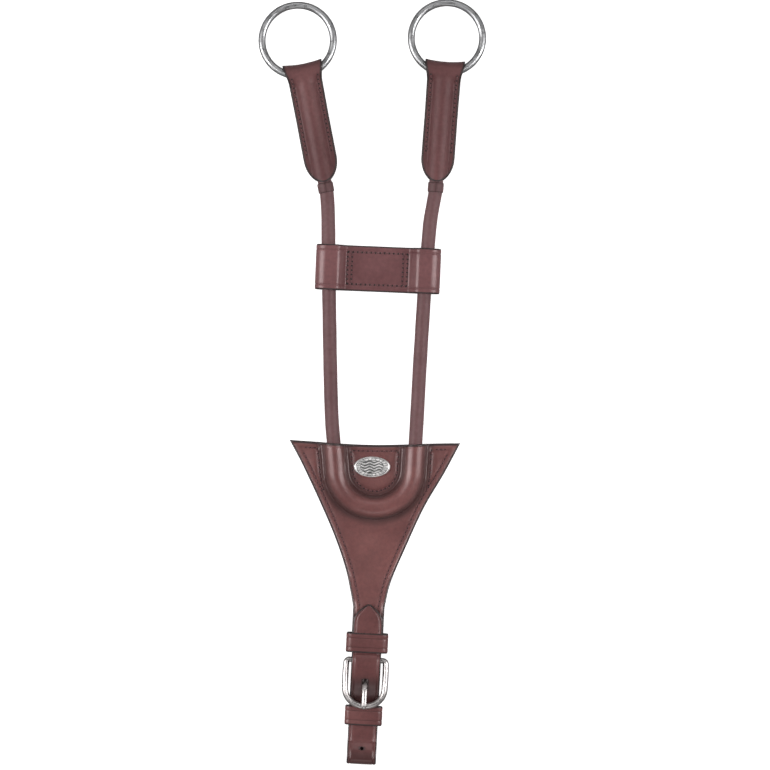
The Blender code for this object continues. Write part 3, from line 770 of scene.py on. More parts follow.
def row_share(points):
    """1 where the channel has a stitch row, 0 round the outside of its bend."""
    r = np.hypot(points[:, 0] - BEND_CENTRE[0], points[:, 1] - BEND_CENTRE[1])
    below = step01(CHANNEL_ROW_END + 1.0, CHANNEL_ROW_END - 1.0, points[:, 1])
    return 1 - below * (r > BEND_R)


def bib_under(points):
    """Height of the bib's back face: the lining's top, and the bore of the channel."""
    d = polyline_distance(points, CHANNEL_LINE)
    e = polyline_distance(points, BIB_LOOP, True)
    arch = Z_CORD + np.sqrt(np.maximum(CHANNEL_R ** 2 - d ** 2, 0))
    z = np.where(d < CHANNEL_R, arch, FRONT_Z)
    return z + round_edge(e, BACK_ROUND, np.where(d < CHANNEL_R, 0, 0.45)) + neck_lift(points)


def offset_line(line, distance):
    """The line moved to its right."""
    return [p + Vector((t.y, -t.x)) * distance for p, t in zip(line, directions(line))]


def plate_points(loop, insets, extra, grid, near):
    """Boundary points first, then inset rows, extra rows and a sparse grid, none too close together."""
    wanted = [tuple(p) for p in loop]
    taken = {}

    def crowded(x, y, reach):
        cx, cy = int(x // 0.8), int(y // 0.8)
        for i in (cx - 1, cx, cx + 1):
            for j in (cy - 1, cy, cy + 1):
                for u, v in taken.get((i, j), ()):
                    if (u - x) ** 2 + (v - y) ** 2 < reach * reach:
                        return True
        return False

    def add(x, y):
        taken.setdefault((int(x // 0.8), int(y // 0.8)), []).append((x, y))

    for x, y in wanted:
        add(x, y)
    ring = [Vector(p) for p in loop]
    normals = [Vector((-t.y, t.x)) for t in directions(ring, True)]
    rows = []
    for value in insets:
        rows += [(tuple(p + n * value), value, 0.05) for p, n in zip(ring, normals)]
    rows += [(tuple(p), 0.0, 0.3) for p in extra]
    xs = np.arange(loop[:, 0].min(), loop[:, 0].max(), grid)
    ys = np.arange(loop[:, 1].min(), loop[:, 1].max(), grid)
    rows += [((x + (j % 2) * grid / 2, y), 0.0, near) for j, y in enumerate(ys) for x in xs]
    spots = np.array([r[0] for r in rows])
    keep = inside(spots, loop)
    gap = polyline_distance(spots, loop, True)
    for (spot, value, least), ok, e in zip(rows, keep, gap):
        if not ok or e < max(0.08, value - 0.06, least):
            continue
        if crowded(*spot, 0.10 if value and value < 1.2 else 0.34):
            continue
        add(*spot)
        wanted.append(tuple(spot))
    return wanted


def plate(name, loop, points, top, under):
    """Closed plate over one triangulation, its two faces given as heights."""
    count = len(loop)
    edges = [(i, (i + 1) % count) for i in range(count)]
    spots, _, faces, _, _, _ = geometry.delaunay_2d_cdt(
        [Vector(p) for p in points], edges, [list(range(count))], 1, 1e-5)
    xy = flat(spots)
    high, low = top(xy), under(xy)
    verts = [(x, y, z) for (x, y), z in zip(xy, high)] + [(x, y, z) for (x, y), z in zip(xy, low)]
    shift = len(xy)
    all_faces = [tuple(f) for f in faces] + [tuple(i + shift for i in reversed(f)) for f in faces]
    sides = {}
    for face in faces:
        for a, b in zip(face, list(face[1:]) + [face[0]]):
            sides[(a, b)] = sides.get((a, b), 0) + 1
    for a, b in sides:
        if (b, a) not in sides:
            all_faces.append((b, a, a + shift, b + shift))
    return solid(name, verts, all_faces, 50)


# Distances from the channel's middle line and from the outline at which the bib's mesh has its points.
CHANNEL_ROWS = (
    1.1, 2.2, 3.2, 4.1, 4.8, 5.2, 5.45, 5.56, 5.9, 6.3, 6.75, 7.1, 7.4, 7.65, 7.95, 8.3, 8.7,
    9.2, 9.8, 10.5, 11.0, 11.6, 12.2, 13.0, 15.0, 17.0,
)
EDGE_ROWS = (0.12, 0.3, 0.55, 0.8, 1.05, 1.4, 2.0, 2.6, 3.3, 4.4, 5.5)


def make_bib_front():
    """Front leather with the channel moulded into it."""
    extra = list(CHANNEL)
    for value in CHANNEL_ROWS:
        for sign in (1, -1):
            extra += offset_line(CHANNEL, sign * value)
    points = plate_points(BIB_LOOP, EDGE_ROWS, extra, 2.2, 6.5)

    obj = plate("bib_front_leather", BIB_LOOP, points, bib_top, bib_under)
    co = coords(obj)
    e = polyline_distance(co[:, :2], BIB_LOOP, True)
    d = polyline_distance(co[:, :2], CHANNEL_LINE)
    upper = np.arange(len(co)) < len(co) // 2
    top_gap = polyline_distance(co[:, :2], flat(smooth(TOP_EDGE, 6)))
    face_edge = np.maximum(1 - step01(1.05, 1.5, e), 1 - step01(1.25, 1.8, top_gap))
    paint(obj, "edge", np.where(upper, face_edge, 1 - step01(0.2, 0.5, e)))
    # Painted shade: darker in the edge crease, along the stitch rows and in a broad band round the foot of
    # the channel's ridge.
    shade_and_stain = 0.15 * bump01(e - EDGE_CREASE, 0.4)
    shade_and_stain = np.maximum(shade_and_stain, 0.30 * bump01(e - STITCH_INSET, 1.2) * (d > CHANNEL_CLEAR))
    shade_and_stain = np.maximum(shade_and_stain, 0.76 * step01(4.0, 7.4, d) * (1 - step01(8.8, 14.2, d)))
    shade_and_stain = np.maximum(shade_and_stain, 0.30 * bump01(d - STITCH_CHANNEL, 1.2) * row_share(co))
    paint(obj, "shade_and_stain", np.where(upper, shade_and_stain, 0.0))
    show(obj, BODY_LEATHER, "bib", ["bib_front"])


def bib_surface(x, y):
    """Where a stitch sits on the bib's front: (height, outward sign)."""
    return float(bib_top(np.array([[x, y]]))[0]) + 0.02, 1


def under_surface(x, y):
    """The same for the flat backs that lie on the ground, whose stitches are sunk into the leather."""
    return BACK_STITCH_Z, -1


def make_bib_stitches():
    left, right = (offset_line(side, -STITCH_INSET) for side in bib_sides())
    top = offset_line(smooth(TOP_EDGE, 6), -STITCH_INSET)
    runs = {"side_left": [p for p in left if p.y < -48.5], "side_right": [p for p in right if p.y < -50.5]}
    mouth = STITCH_CHANNEL + 1.0
    d = polyline_distance(flat(top), CHANNEL_LINE)
    free = [p for p, gap in zip(top, d) if gap > mouth]
    runs["top_right"] = [p for p in free if 29.0 < p.x < 52.0]
    runs["top_middle"] = [p for p in free if abs(p.x) < 22.0]
    runs["top_left"] = [p for p in free if -48.5 < p.x < -29.0]
    for label, sign in (("outer", 1), ("inner", -1)):
        line = offset_line(CHANNEL, sign * STITCH_CHANNEL)
        spots = flat(line)
        e = polyline_distance(spots, BIB_LOOP, True)
        within = inside(spots, BIB_LOOP)
        keep = [p for p, gap, ok in zip(line, e, within) if ok and gap > STITCH_INSET - 0.1]
        if label == "outer":
            runs["channel_outer_left"] = [p for p in keep if p.x < BEND_CENTRE[0] and p.y > CHANNEL_ROW_END]
            runs["channel_outer_right"] = [p for p in keep if p.x > BEND_CENTRE[0] and p.y > CHANNEL_ROW_END]
        else:
            runs["channel_inner"] = keep
    for label, line in runs.items():
        if len(line) > 2:
            stitch_row(f"stitch_bib_{label}", line, bib_surface, "bib")
            stitch_row(f"stitch_lining_{label}", line, under_surface, "bib")


def make_lining():
    loop = flat(resample(bib_outline(LINING_END_S), 1.2, True))
    rows_at = (0.12, 0.3, 0.55, 3.2, 4.4, 5.6)
    points = plate_points(loop, rows_at, offset_line(CHANNEL, STITCH_CHANNEL), 3.0, 6.5)

    def rows(xy):
        e = polyline_distance(xy, loop, True)
        d = polyline_distance(xy, CHANNEL_LINE)
        sides = bump01(e - STITCH_INSET, ROW_HALF) * (d > CHANNEL_CLEAR)
        return e, np.maximum(sides, bump01(d - STITCH_CHANNEL, ROW_HALF))

    def top(xy):
        e, _ = rows(xy)
        return LINING_T - round_edge(e, BACK_ROUND, 0.35)

    def under(xy):
        e, dip = rows(xy)
        return 0.22 * dip + round_edge(e, BACK_ROUND, 0.35)

    obj = plate("bib_lining_leather", loop, points, top, under)
    co = coords(obj)
    e, dip = rows(co[:, :2])
    paint(obj, "edge", 1 - step01(0.2, 0.6, e))
    # Painted shade along the stitch rows' dips.
    paint(obj, "shade_and_stain", 0.35 * dip)
    show(obj, LINING_LEATHER, "bib", ["bib_lining"])


# ---------------------------------------------------------------- cord
STRAND_DIP = 0.22
STRAND_TWIST = 0.3
COVER_SIDES = 48
CORD_POINTS = {
    "left": ((-31.15, 122.0), (-30.8, 110.0), (-30.65, 96.0), (-30.3, 62.0), (-29.6, 20.0), (-28.75, -15.0)),
    "right": ((42.4, 123.0), (40.6, 112.0), (39.2, 97.0), (36.3, 60.0), (33.5, 15.0), (31.7, -18.0)),
}


def cord_line(side):
    place = TAB[side]
    head = [place(a, 0, 0)[:2] for a in (25.0, 45.0, 66.0, 86.0, 92.5)]
    foot = [leg_point(side, y) for y in (-31.0, -42.0, -53.0)]
    flat = resample(smooth(head + list(CORD_POINTS[side]) + foot, 12), 1.6)
    return [Vector((p.x, p.y, Z_CORD)) for p in flat]


def cover_radius(seed):
    """Rolled leather: a slightly uneven round with its butt seam underneath."""
    def radius(i, a):
        seam = math.exp(-(((a - 1.5 * math.pi) / 0.10) ** 2))
        wave = 0.045 * math.sin(i * 0.37 + seed) * math.cos(2 * a + i * 0.06)
        wave += 0.03 * math.sin(i * 0.11 + 3 * a)
        return CORD_R - 0.35 * seam + wave - 0.04
    return radius


def tube_wall(name, path, radius, bore, sides):
    outer = round_rings(path, radius, sides, (0, 0, 1))
    inner = round_rings(path, bore, sides, (0, 0, 1))
    verts = [p for ring in outer + inner for p in ring]
    shift = len(outer) * sides
    faces = []
    for i in range(len(path) - 1):
        for j in range(sides):
            k = (j + 1) % sides
            a, b = i * sides, (i + 1) * sides
            faces.append((a + j, a + k, b + k, b + j))
            faces.append((shift + a + k, shift + a + j, shift + b + j, shift + b + k))
    for ring in (0, (len(path) - 1) * sides):
        for j in range(sides):
            k = (j + 1) % sides
            faces.append((ring + j, shift + ring + j, shift + ring + k, ring + k))
    return solid(name, verts, faces, 60)


def rope(name, path):
    """Three-strand filler cord, ending a little inside its cover's ends."""
    def radius(i, a):
        return CORE_R - STRAND_DIP + STRAND_DIP * abs(math.cos(1.5 * (a - i * STRAND_TWIST)))

    inner = [path[0].lerp(path[1], 0.4)] + path[1:-1] + [path[-1].lerp(path[-2], 0.4)]
    return solid(name, *loft(round_rings(inner, radius, 24, (0, 0, 1))), smooth_angle=60)


def cover(name, path, seed, body, node):
    obj = tube_wall(name, path, cover_radius(seed), COVER_BORE_R, COVER_SIDES)
    count = len(path) * COVER_SIDES
    angle = np.tile(np.arange(COVER_SIDES) * 2 * math.pi / COVER_SIDES, len(path))
    shade_and_stain = np.zeros(len(obj.data.vertices))
    shade_and_stain[:count] = 0.8 * np.exp(-(((angle - 1.5 * math.pi) / 0.12) ** 2))
    paint(obj, "shade_and_stain", shade_and_stain)
    paint(obj, "edge", np.concatenate([np.zeros(count), np.ones(len(shade_and_stain) - count)]))
    show(obj, CORD_LEATHER, body, [node])


def make_cord(side):
    path = cord_line(side)
    cover(f"cord_{side}_rolled_leather", path, 1.0 if side == "left" else 2.6, f"fork_{side}",
          f"cord_{side}_cover")
    core = rope(f"cord_{side}_filler", path)
    show(core, FIBRE, f"fork_{side}", [f"cord_{side}_core"])
    make_sleeve(side)


def make_sleeve(side):
    """Leather collar wrapped round the cord under the tab, its ends meeting in front."""
    place = TAB[side]
    first, last = SLEEVE_L
    spans = [first + (last - first) * k / 14 for k in range(15)]

    def ring(a, r, seam):
        out = []
        for k in range(SLEEVE_SIDES):
            t = 2 * math.pi * k / SLEEVE_SIDES
            lap = math.exp(-(((t - 0.5 * math.pi) / 0.09) ** 2))
            rr = r - seam * lap
            out.append(place(a, rr * math.cos(t), Z_CORD + rr * math.sin(t)))
        return out

    rings = []
    for a in spans:
        end = min(a - first, last - a)
        outer = SLEEVE_OUTER_R - 0.3 * math.exp(-end / 0.25)
        rings.append(ring(a, outer, 0.28))
    rings += [ring(a, SLEEVE_BORE_R, 0.0) for a in reversed(spans)]
    obj = solid(f"sleeve_{side}_leather", *loft(rings, True), smooth_angle=60)
    co = coords(obj)
    a, b = place.back(co)
    paint(obj, "edge", 1 - step01(0.15, 0.6, np.minimum(a - first, last - a)))
    paint(obj, "shade_and_stain", 0.30 + 0.5 * bump01(b, 0.8) * (co[:, 2] > Z_CORD))
    show(obj, CORD_LEATHER, f"fork_{side}", [f"sleeve_{side}"])


def make_cord_run():
    """The hidden run of the cord inside the bib's channel."""
    path = []
    for k in range(61):
        p = polar(BEND_CENTRE, BEND_R, 182.2 + 175.6 * k / 60)
        path.append(Vector((p.x, p.y, Z_CORD)))
    cover("cord_run_rolled_leather", path, 4.0, "bib", "cord_run_cover")
    core = rope("cord_run_filler", path)
    show(core, FIBRE, "bib", ["cord_run_core"])


# ---------------------------------------------------------------- tabs and rings
def lerp_table(table, x):
    return np.interp(x, [p[0] for p in table], [p[1] for p in table])


def tab_half_width(a):
    if a <= TAB_TIP_START:
        return float(lerp_table(TAB_HALF_WIDTH, a))
    t = min(0.998, (a - TAB_TIP_START) / (TAB_LENGTH - TAB_TIP_START))
    return TAB_HALF_WIDTH[-1][1] * math.sqrt(1 - t * t)


TAB_STITCH_INSET = 2.9
TAB_STITCH_SPAN = (11.0, 64.5)


def tab_half_thickness(a, b):
    """Half a tab's thickness: round at the ring's fold, then arched over the cord with thin sewn borders."""
    fold = math.sqrt(max(0.0, TAB_FOLD_R ** 2 - (TAB_FOLD_R - a) ** 2)) if a < TAB_FOLD_R else TAB_FOLD_R
    arch = math.sqrt(max(0.0, TAB_ARCH_R ** 2 - b * b))
    over = arch - TAB_BORDER_HALF
    body = min(TAB_BORDER_HALF + 0.5 * (over + math.sqrt(over ** 2 + 1.2)) - 0.06, TAB_ARCH_R)
    t = float(step01(9.0, 17.0, a))
    h = (1 - t) * fold + t * body
    row = tab_half_width(a) - TAB_STITCH_INSET
    along = float(step01(9.5, 12.5, a) * (1 - step01(64.0, 67.0, a)))
    return h - 0.16 * float(bump01(abs(b) - row, 1.3)) * along


def tab_section(half):
    """Positions across half a tab, closer together near its edge: (b, drop)."""
    shrink = min(1.0, half / 8.0)
    inner = [half * f for f in (0, 0.07, 0.14, 0.21, 0.28, 0.35, 0.42, 0.48, 0.54, 0.6, 0.65, 0.7)]
    inner += [half - i * shrink for i in (3.3, 2.9, 2.5, 2.1, 1.7)]
    rim = ((1.4, 0.0), (1.1, 0.03), (0.75, 0.13), (0.4, 0.33), (0.12, 0.68), (0.0, 1.1))
    return [(b, 0.0) for b in inner] + [(half - i * shrink, o) for i, o in rim]


def tab_stations():
    """Positions along a tab, closer together at the fold, the step behind it and the rounded tip."""
    fold = [0.05, 0.2, 0.5, 0.9, 1.4, 2.0, 2.8, 3.7, 4.8, 6.0, 7.4, 8.5]
    step = [9.3 + 0.8 * k for k in range(13)]
    body = [20.5 + 2.0 * k for k in range(24)]
    reach = TAB_LENGTH - 0.12 - TAB_TIP_START
    tip = [TAB_TIP_START + reach * math.sin(math.pi / 2 * k / 22) for k in range(1, 23)]
    return fold + step + body + tip


def tab_shell(side):
    """A tab's outside, front and back, its fold end dipping in the middle."""
    place = TAB[side]
    rings = []
    for a in tab_stations():
        half = tab_half_width(a)
        rows = tab_section(half)
        dip = 1.3 * math.exp(-a / 5.0)
        spread = [(-b, o) for b, o in rows[::-1]] + rows[1:]
        ring = []
        for face, order in ((1, spread), (-1, spread[::-1])):
            for b, o in order:
                h = tab_half_thickness(a, b)
                z = Z_CORD + face * max(0.3, h - min(o, h * 0.55))
                ring.append(place(a + dip * (1 - (b / half) ** 2), b, z))
        rings.append(ring)
    return solid(f"tab_{side}_leather", *loft(rings))


def cut_tab_holes(obj, place):
    """The ring's bore with flared mouths, and the cord's bore."""
    def tool(start, end, r0, r1, sides):
        return cylinder(place(*start, Z_CORD), place(*end, Z_CORD), r0, r1, sides, (0, 0, 1))

    fold = TAB_FOLD_R
    cut(obj, tool((fold, -20), (fold, 20), RING_HOLE_R, RING_HOLE_R, 64))
    for sign in (-1, 1):
        cut(obj, tool((fold, sign * 11.4), (fold, sign * 14.8), RING_HOLE_R - 0.05, 6.5, 64))
    cut(obj, tool((TAB_BORE_START, 0), (TAB_LENGTH + 5, 0), TAB_BORE_R, TAB_BORE_R, 48))
    shade(obj, 38)


def paint_tab(obj, place):
    co = coords(obj)
    a, b = place.back(co)
    side = np.abs(b)
    half = np.array([tab_half_width(max(0.0, v)) for v in a])
    bore = np.hypot(a - TAB_FOLD_R, np.abs(co[:, 2] - Z_CORD))
    rim = 1 - step01(1.15, 1.7, half - side)
    hole = (side < 14) & (bore > 4.8) & (bore < 5.2)
    fall = half * np.clip(a - TAB_TIP_START, 0, None) / np.maximum(1.0, half ** 2)
    steep = np.hypot(1.0, fall * (TAB_HALF_WIDTH[-1][1] / (TAB_LENGTH - TAB_TIP_START)) ** 2)
    tip = (1 - step01(1.0, 1.6, (half - side) / steep)) * (a > TAB_TIP_START)
    end = step01(TAB_LENGTH - 1.3, TAB_LENGTH - 0.7, a)
    paint(obj, "edge", np.maximum.reduce([rim, np.where(hole, 1.0, 0.0), tip, end]))
    # Painted shade: darker along the stitch rows, in the slits where the rows start and at the ring's fold;
    # the tab is also darker towards its sewn borders.
    row = side - (half - TAB_STITCH_INSET)
    sewn_row_shade = 0.50 * bump01(row, 1.2) * step01(9.5, 12.0, a) * (1 - step01(64.0, 67.0, a))
    slit_shade = np.exp(-(((a - 12.0) / 1.6) ** 2)) * np.exp(-((row / 0.8) ** 2))
    border = 0.22 * step01(0.45, 0.95, side / half)
    fold = 0.50 * (1 - step01(0.5, 9.0, a))
    paint(obj, "shade_and_stain", np.maximum.reduce([sewn_row_shade, slit_shade, border, fold]))


def make_tab_stitches(side):
    place = TAB[side]
    first, last = TAB_STITCH_SPAN
    for face, label in ((1, "front"), (-1, "back")):
        def surface(x, y):
            a, b = place.back(np.array([[x, y]]))
            return Z_CORD + face * (tab_half_thickness(float(a[0]), float(b[0])) + 0.03), face

        for sign, word in ((-1, "right"), (1, "left")):
            stops = [first + (last - first) * k / 59 for k in range(60)]
            line = [Vector(place(at, sign * (tab_half_width(at) - TAB_STITCH_INSET), 0)[:2]) for at in stops]
            stitch_row(f"stitch_tab_{side}_{label}_{word}", line, surface, f"fork_{side}")


def make_tab(side):
    obj = tab_shell(side)
    cut_tab_holes(obj, TAB[side])
    paint_tab(obj, TAB[side])
    show(obj, TAB_LEATHER, f"fork_{side}", [f"tab_{side}"])
    make_tab_stitches(side)


def make_ring(side):
    """Round wire ring hung in the tab's fold, resting on the ground at its far side."""
    j = JOINTS[f"ring_{side}_swing"]
    hinge = Vector(mm(j["pos_m"]))
    low, _ = box_mm(f"ring_{side}")
    across = Vector(j["axis"])
    out = Vector((-TAB[side].along.x, -TAB[side].along.y, 0))
    tilt = -math.asin((Z_CORD - RING_WIRE_R - low[2]) / (HINGE_TO_RING + RING_MEAN_R))
    lean = Matrix.Rotation(tilt, 3, across)
    centre = hinge + lean @ (out * HINGE_TO_RING)
    ref = lean @ Vector((0, 0, 1))
    e1 = lean @ out
    path = ring_shape(lambda c, s: centre + (e1 * c + across * s) * RING_MEAN_R, 200)
    rings = round_rings(path, RING_WIRE_R, 36, ref, True)
    obj = solid(f"ring_{side}_wire", *loft(rings, True), smooth_angle=80)
    show(obj, STEEL, f"rein_ring_{side}", [f"ring_{side}"])


# ---------------------------------------------------------------- strap end
# Middle of the billet's face: (distance along the strap, height).
BILLET_FACE = (
    (0.0, STRAP_FACE_Z), (16.0, STRAP_FACE_Z), (33.4, STRAP_FACE_Z), (36.4, 11.45), (39.3, 12.35),
    (45.0, 12.2), (50.0, 11.6), (56.0, 10.1), (61.0, 8.0), (66.0, 6.1), (70.0, 5.0), (75.0, 4.7),
    (94.0, 4.7), (98.5, 6.3), (102.5, 8.5), (106.0, 9.55),
)
TONGUE_SHANK = (
    (41.6, 7.7), (45.0, 7.2), (49.0, 6.9), (52.2, 7.3), (54.6, 8.5), (56.5, 10.3),
    (58.6, 12.0), (61.6, 13.3), (66.0, 14.1), (70.5, 14.5), (73.3, 14.3),
)
TONGUE_END_TAPER = (0.35, 0.6, 0.77, 0.88, 0.95, 0.99)


def billet_path():
    """The strap's path: its face, the fold at the bottom and the return under the neck."""
    face = smooth(BILLET_FACE, 8)
    face += [polar((FOLD_S, FOLD_Z), FOLD_R, 90 - 7.5 * k) for k in range(25)]
    face += [Vector((FOLD_S - 4.0 - 5.5 * k, BACK_Z)) for k in range(19)]
    return face + [Vector((-6.0, BACK_Z))]


def strap_strip(a, z, b):
    return STRAP(a, b, z)


def make_billet():
    """The strap, with its pointed tip, the tongue's slot and one spare hole."""
    tip_stations = (0.12, 0.4, 0.8, 1.4, 2.1, 3.0, 4.0, 5.2, 6.5, 8.0, 9.6, 11.4)
    path = [Vector((s, STRAP_FACE_Z)) for s in tip_stations]
    path += [p for i, p in enumerate(billet_path()) if p.x > 12.5 or i > 12]

    def half(i):
        s = path[i].x
        if i >= len(tip_stations):
            return STRAP_HALF
        return STRAP_HALF * min(1.0, 0.04 + math.sin(math.pi / 2 * min(1.0, s / 12.0)) ** 0.85 * 0.96)

    obj = strip("billet_leather", path, STRAP_T / 2, half, strap_strip, 2.3)
    cut(obj, slot_cutter(52.0, 60.2, 2.2, 6.0, 16.0))
    cut(obj, slot_cutter(HOLE_S - HOLE_R, HOLE_S + HOLE_R, HOLE_R, 5.2, 14.0))
    shade(obj, 50)
    co = coords(obj)
    a, b = STRAP.back(co)
    edge = painted(obj, "edge")
    upper = co[:, 2] > 3.9
    rim = 1 - step01(HOLE_R + 0.02, HOLE_R + 0.25, np.hypot(a - HOLE_S, b))
    edge = np.maximum(edge, rim * upper)
    core = np.hypot(np.maximum(np.abs(a - 56.1) - 1.9, 0), b)
    edge = np.maximum(edge, (1 - step01(2.25, 2.7, core)) * upper)
    tip = (a < 12.5) & upper
    curve = np.array([(path[i].x, half(i)) for i in range(len(tip_stations))])
    reach = polyline_distance(np.stack([a, np.abs(b)], 1)[tip], curve)
    edge[tip] = np.maximum(edge[tip], 1 - step01(0.9, 1.4, reach))
    paint(obj, "edge", edge)
    # Painted shade: darker where the strap dips away under the buckle's tongue and towards the fold at its
    # end.
    wear_and_shade = 0.85 * step01(47.0, 57.0, a) * (1 - step01(70.0, 74.0, a)) * (co[:, 2] > 4.0)
    fold_shade = 0.72 * step01(98.5, 106.5, a)
    paint(obj, "shade_and_stain", np.maximum(np.maximum(painted(obj, "shade_and_stain"), wear_and_shade), fold_shade))
    show(obj, STRAP_LEATHER, "bib", ["billet"])


def slot_cutter(s0, s1, w, z0, z1):
    """Tool for a round-ended slot through the strap, from s0 to s1 along it and w to each side."""
    outline = []
    for centre, first in ((s0 + w, 90), (s1 - w, 270)):
        turn = [math.radians(t) for t in range(first, first + 181, 12)]
        outline += [(centre + w * math.cos(t), w * math.sin(t)) for t in turn]
    return solid("tool", *loft([[STRAP(s, u, z) for s, u in outline] for z in (z0, z1)]))


def make_chape():
    """Leather loop that holds the buckle's bar."""
    path = [Vector((a, 4.35)) for a in (4.0, 12.0, 20.0, 28.0, 34.0)]
    path += [polar((BAR_S, BAR_Z), 3.0, -90 + 220 * k / 33) for k in range(34)]
    path += smooth(((35.6, 8.15), (34.4, 7.1), (32.6, 6.05), (31.0, 5.85), (20.0, 5.85), (4.0, 5.85)), 4)
    obj = strip("chape_leather", path, 0.65, 10.0, strap_strip, 0)
    cut(obj, slot_cutter(32.4, 45.0, 2.6, 2.0, 13.0))
    shade(obj, 50)
    show(obj, STRAP_LEATHER, "bib", ["chape"])


def keeper_path(half, z0, z1, t):
    """Closed rounded rectangle in (u, z), clockwise from its upper right, its top slightly crowned."""
    half, low, high = half - t / 2, z0 + t / 2, z1 - t / 2
    r = min(3.6, (high - low) / 2 - 0.2)
    wall = high - low - 2 * r

    def corner(cx, cz, start):
        return [polar((cx, cz), r, start - 11.25 * k) for k in range(9)]

    def across(start_x, end_x, z, crown):
        share = [k / 12 for k in range(1, 12)]
        return [Vector((start_x + (end_x - start_x) * f, z + crown * math.sin(math.pi * f))) for f in share]

    path = corner(half - r, high - r, 90)
    path += [Vector((half, low + r + wall * f)) for f in (0.66, 0.33)]
    path += corner(half - r, low + r, 0)
    path += across(half - r, r - half, low, 0.0)
    path += corner(r - half, low + r, -90)
    path += [Vector((-half, low + r + wall * f)) for f in (0.33, 0.66)]
    path += corner(r - half, high - r, 180)
    return path + across(r - half, half - r, high, 0.35)


def make_keeper(node, body, spec):
    """Strap keeper, spec giving (half its height, half its width, lowest, highest)."""
    name = f"{node}_leather"
    low, high = box_mm(node)
    mid = STRAP.back(np.array([(low + high) / 2]))[0][0]
    half_length, half, z0, z1 = spec
    path = keeper_path(half, z0, z1, 1.4)

    def place(u, z, b):
        return STRAP(mid + b, u, z)

    # The keeper's crease grooves get strong painted shade.
    obj = strip(name, path, 0.7, half_length, place, 3.6, closed=True, crease_shade=0.6)
    show(obj, STRAP_LEATHER, body, [node])


# ---------------------------------------------------------------- buckle
def make_buckle():
    """Bent wire frame, its loop given as (along, across, wire radius)."""
    loop = [(BAR_S, u, 2.0) for u in np.linspace(-11.0, 11.0, 24)]
    corner = 2.2
    bend = []
    for degrees in range(10, 91, 10):
        a = math.radians(degrees)
        s, u = BAR_S + corner * (1 - math.cos(a)), BUCKLE_HALF - corner + corner * math.sin(a)
        bend.append((s, u, 2.05 + 0.2 * degrees / 90))
    side = [(s, BUCKLE_HALF + 0.2 * math.sin((s - BAR_S) / 20 * math.pi), BUCKLE_WIRE_R)
            for s in np.linspace(43.0, 58.0, 14)]
    arc = [(BUCKLE_ARC_S + (BUCKLE_END_S - BUCKLE_ARC_S) * math.cos(math.radians(a)),
            BUCKLE_HALF * math.sin(math.radians(a)), BUCKLE_WIRE_R) for a in range(90, -91, -4)]
    loop += bend + side + arc
    loop += [(s, -u, r) for s, u, r in side[::-1]] + [(s, -u, r) for s, u, r in bend[::-1]]
    slope = (BUCKLE_END_Z - BAR_Z) / (BUCKLE_END_S - BAR_S)
    path = [Vector(STRAP(s, u, BAR_Z + (s - BAR_S) * slope)) for s, u, _ in loop]
    down = (Vector(STRAP(1, 0, slope)) - Vector(STRAP(0, 0, 0))).normalized()
    across = Vector((STRAP.across.x, STRAP.across.y, 0))
    ref = down.cross(across)

    def radius(i, a):
        return loop[i][2] * (1.0 - 0.06 * math.cos(2 * a))

    obj = solid("buckle_frame_metal", *loft(round_rings(path, radius, 32, ref, True), True), smooth_angle=80)
    show(obj, BUCKLE_METAL, "frame_buckle", ["buckle_frame"])


def make_tongue():
    """Bent shank with an eye round the bar."""
    path = [Vector(STRAP(p.x, 0, p.y)) for p in smooth(TONGUE_SHANK, 6)]
    across = Vector((STRAP.across.x, STRAP.across.y, 0))
    count = len(path)

    def radius(i, a):
        left = count - 1 - i
        taper = TONGUE_END_TAPER[left] if left < len(TONGUE_END_TAPER) else 1.0
        swell = 1.0 + 0.05 * math.cos(math.pi * i / count)
        flat = 1.0 - 0.10 * math.cos(2 * a)
        return 1.68 * taper * swell * flat

    obj = solid("buckle_tongue_metal", *loft(round_rings(path, radius, 28, across)), smooth_angle=60)
    for half, r, operation in ((2.0, 3.5, "UNION"), (4.0, 2.2, "DIFFERENCE")):
        ends = [STRAP(BAR_S, u, BAR_Z) for u in (-half, half)]
        cut(obj, cylinder(*ends, r, r, 64, (0, 0, 1)), operation)
    shade(obj, 50)
    show(obj, BUCKLE_METAL, "tongue_buckle", ["buckle_tongue"])


# ---------------------------------------------------------------- slide band
def band_path():
    """Closed loop in (a, z), clockwise so that its face is outside."""
    t = BAND_T / 2
    r = (2 * Z_CORD - BAND_T) / 2
    end = BAND_HALF_LENGTH - t - r
    panel = 5.4 + 0.25 + t
    top = 2 * Z_CORD - t
    left, right = BAND_PANEL
    start = 29.0
    path = [Vector((left + (right - left) * k / 22, panel)) for k in range(23)]
    rise = [k / 12 for k in range(1, 13)]
    climb = [panel + (top - panel) * float(step01(0, 1, f)) for f in rise]
    path += [Vector((right + (start - right) * f, z)) for f, z in zip(rise, climb)]
    path += [Vector((start + (end - start) * k / 5, top)) for k in range(1, 5)]
    path += [polar((end, Z_CORD), r, 90 - 5 * k) for k in range(37)]
    path += [Vector((end - 2 * end * k / 30, t)) for k in range(1, 30)]
    path += [polar((-end, Z_CORD), r, -90 - 5 * k) for k in range(37)]
    path += [Vector((-end + (end - start) * k / 5, top)) for k in range(1, 5)]
    path += [Vector((-start + (left + start) * f, top + (panel - top) * float(step01(0, 1, f))))
             for f in [0.0] + rise[:-1]]
    return path


def band_place(a, z, b):
    # The band slides along the cords, so the strip's width runs along the joint's axis.
    return BAND(b, -a, z)


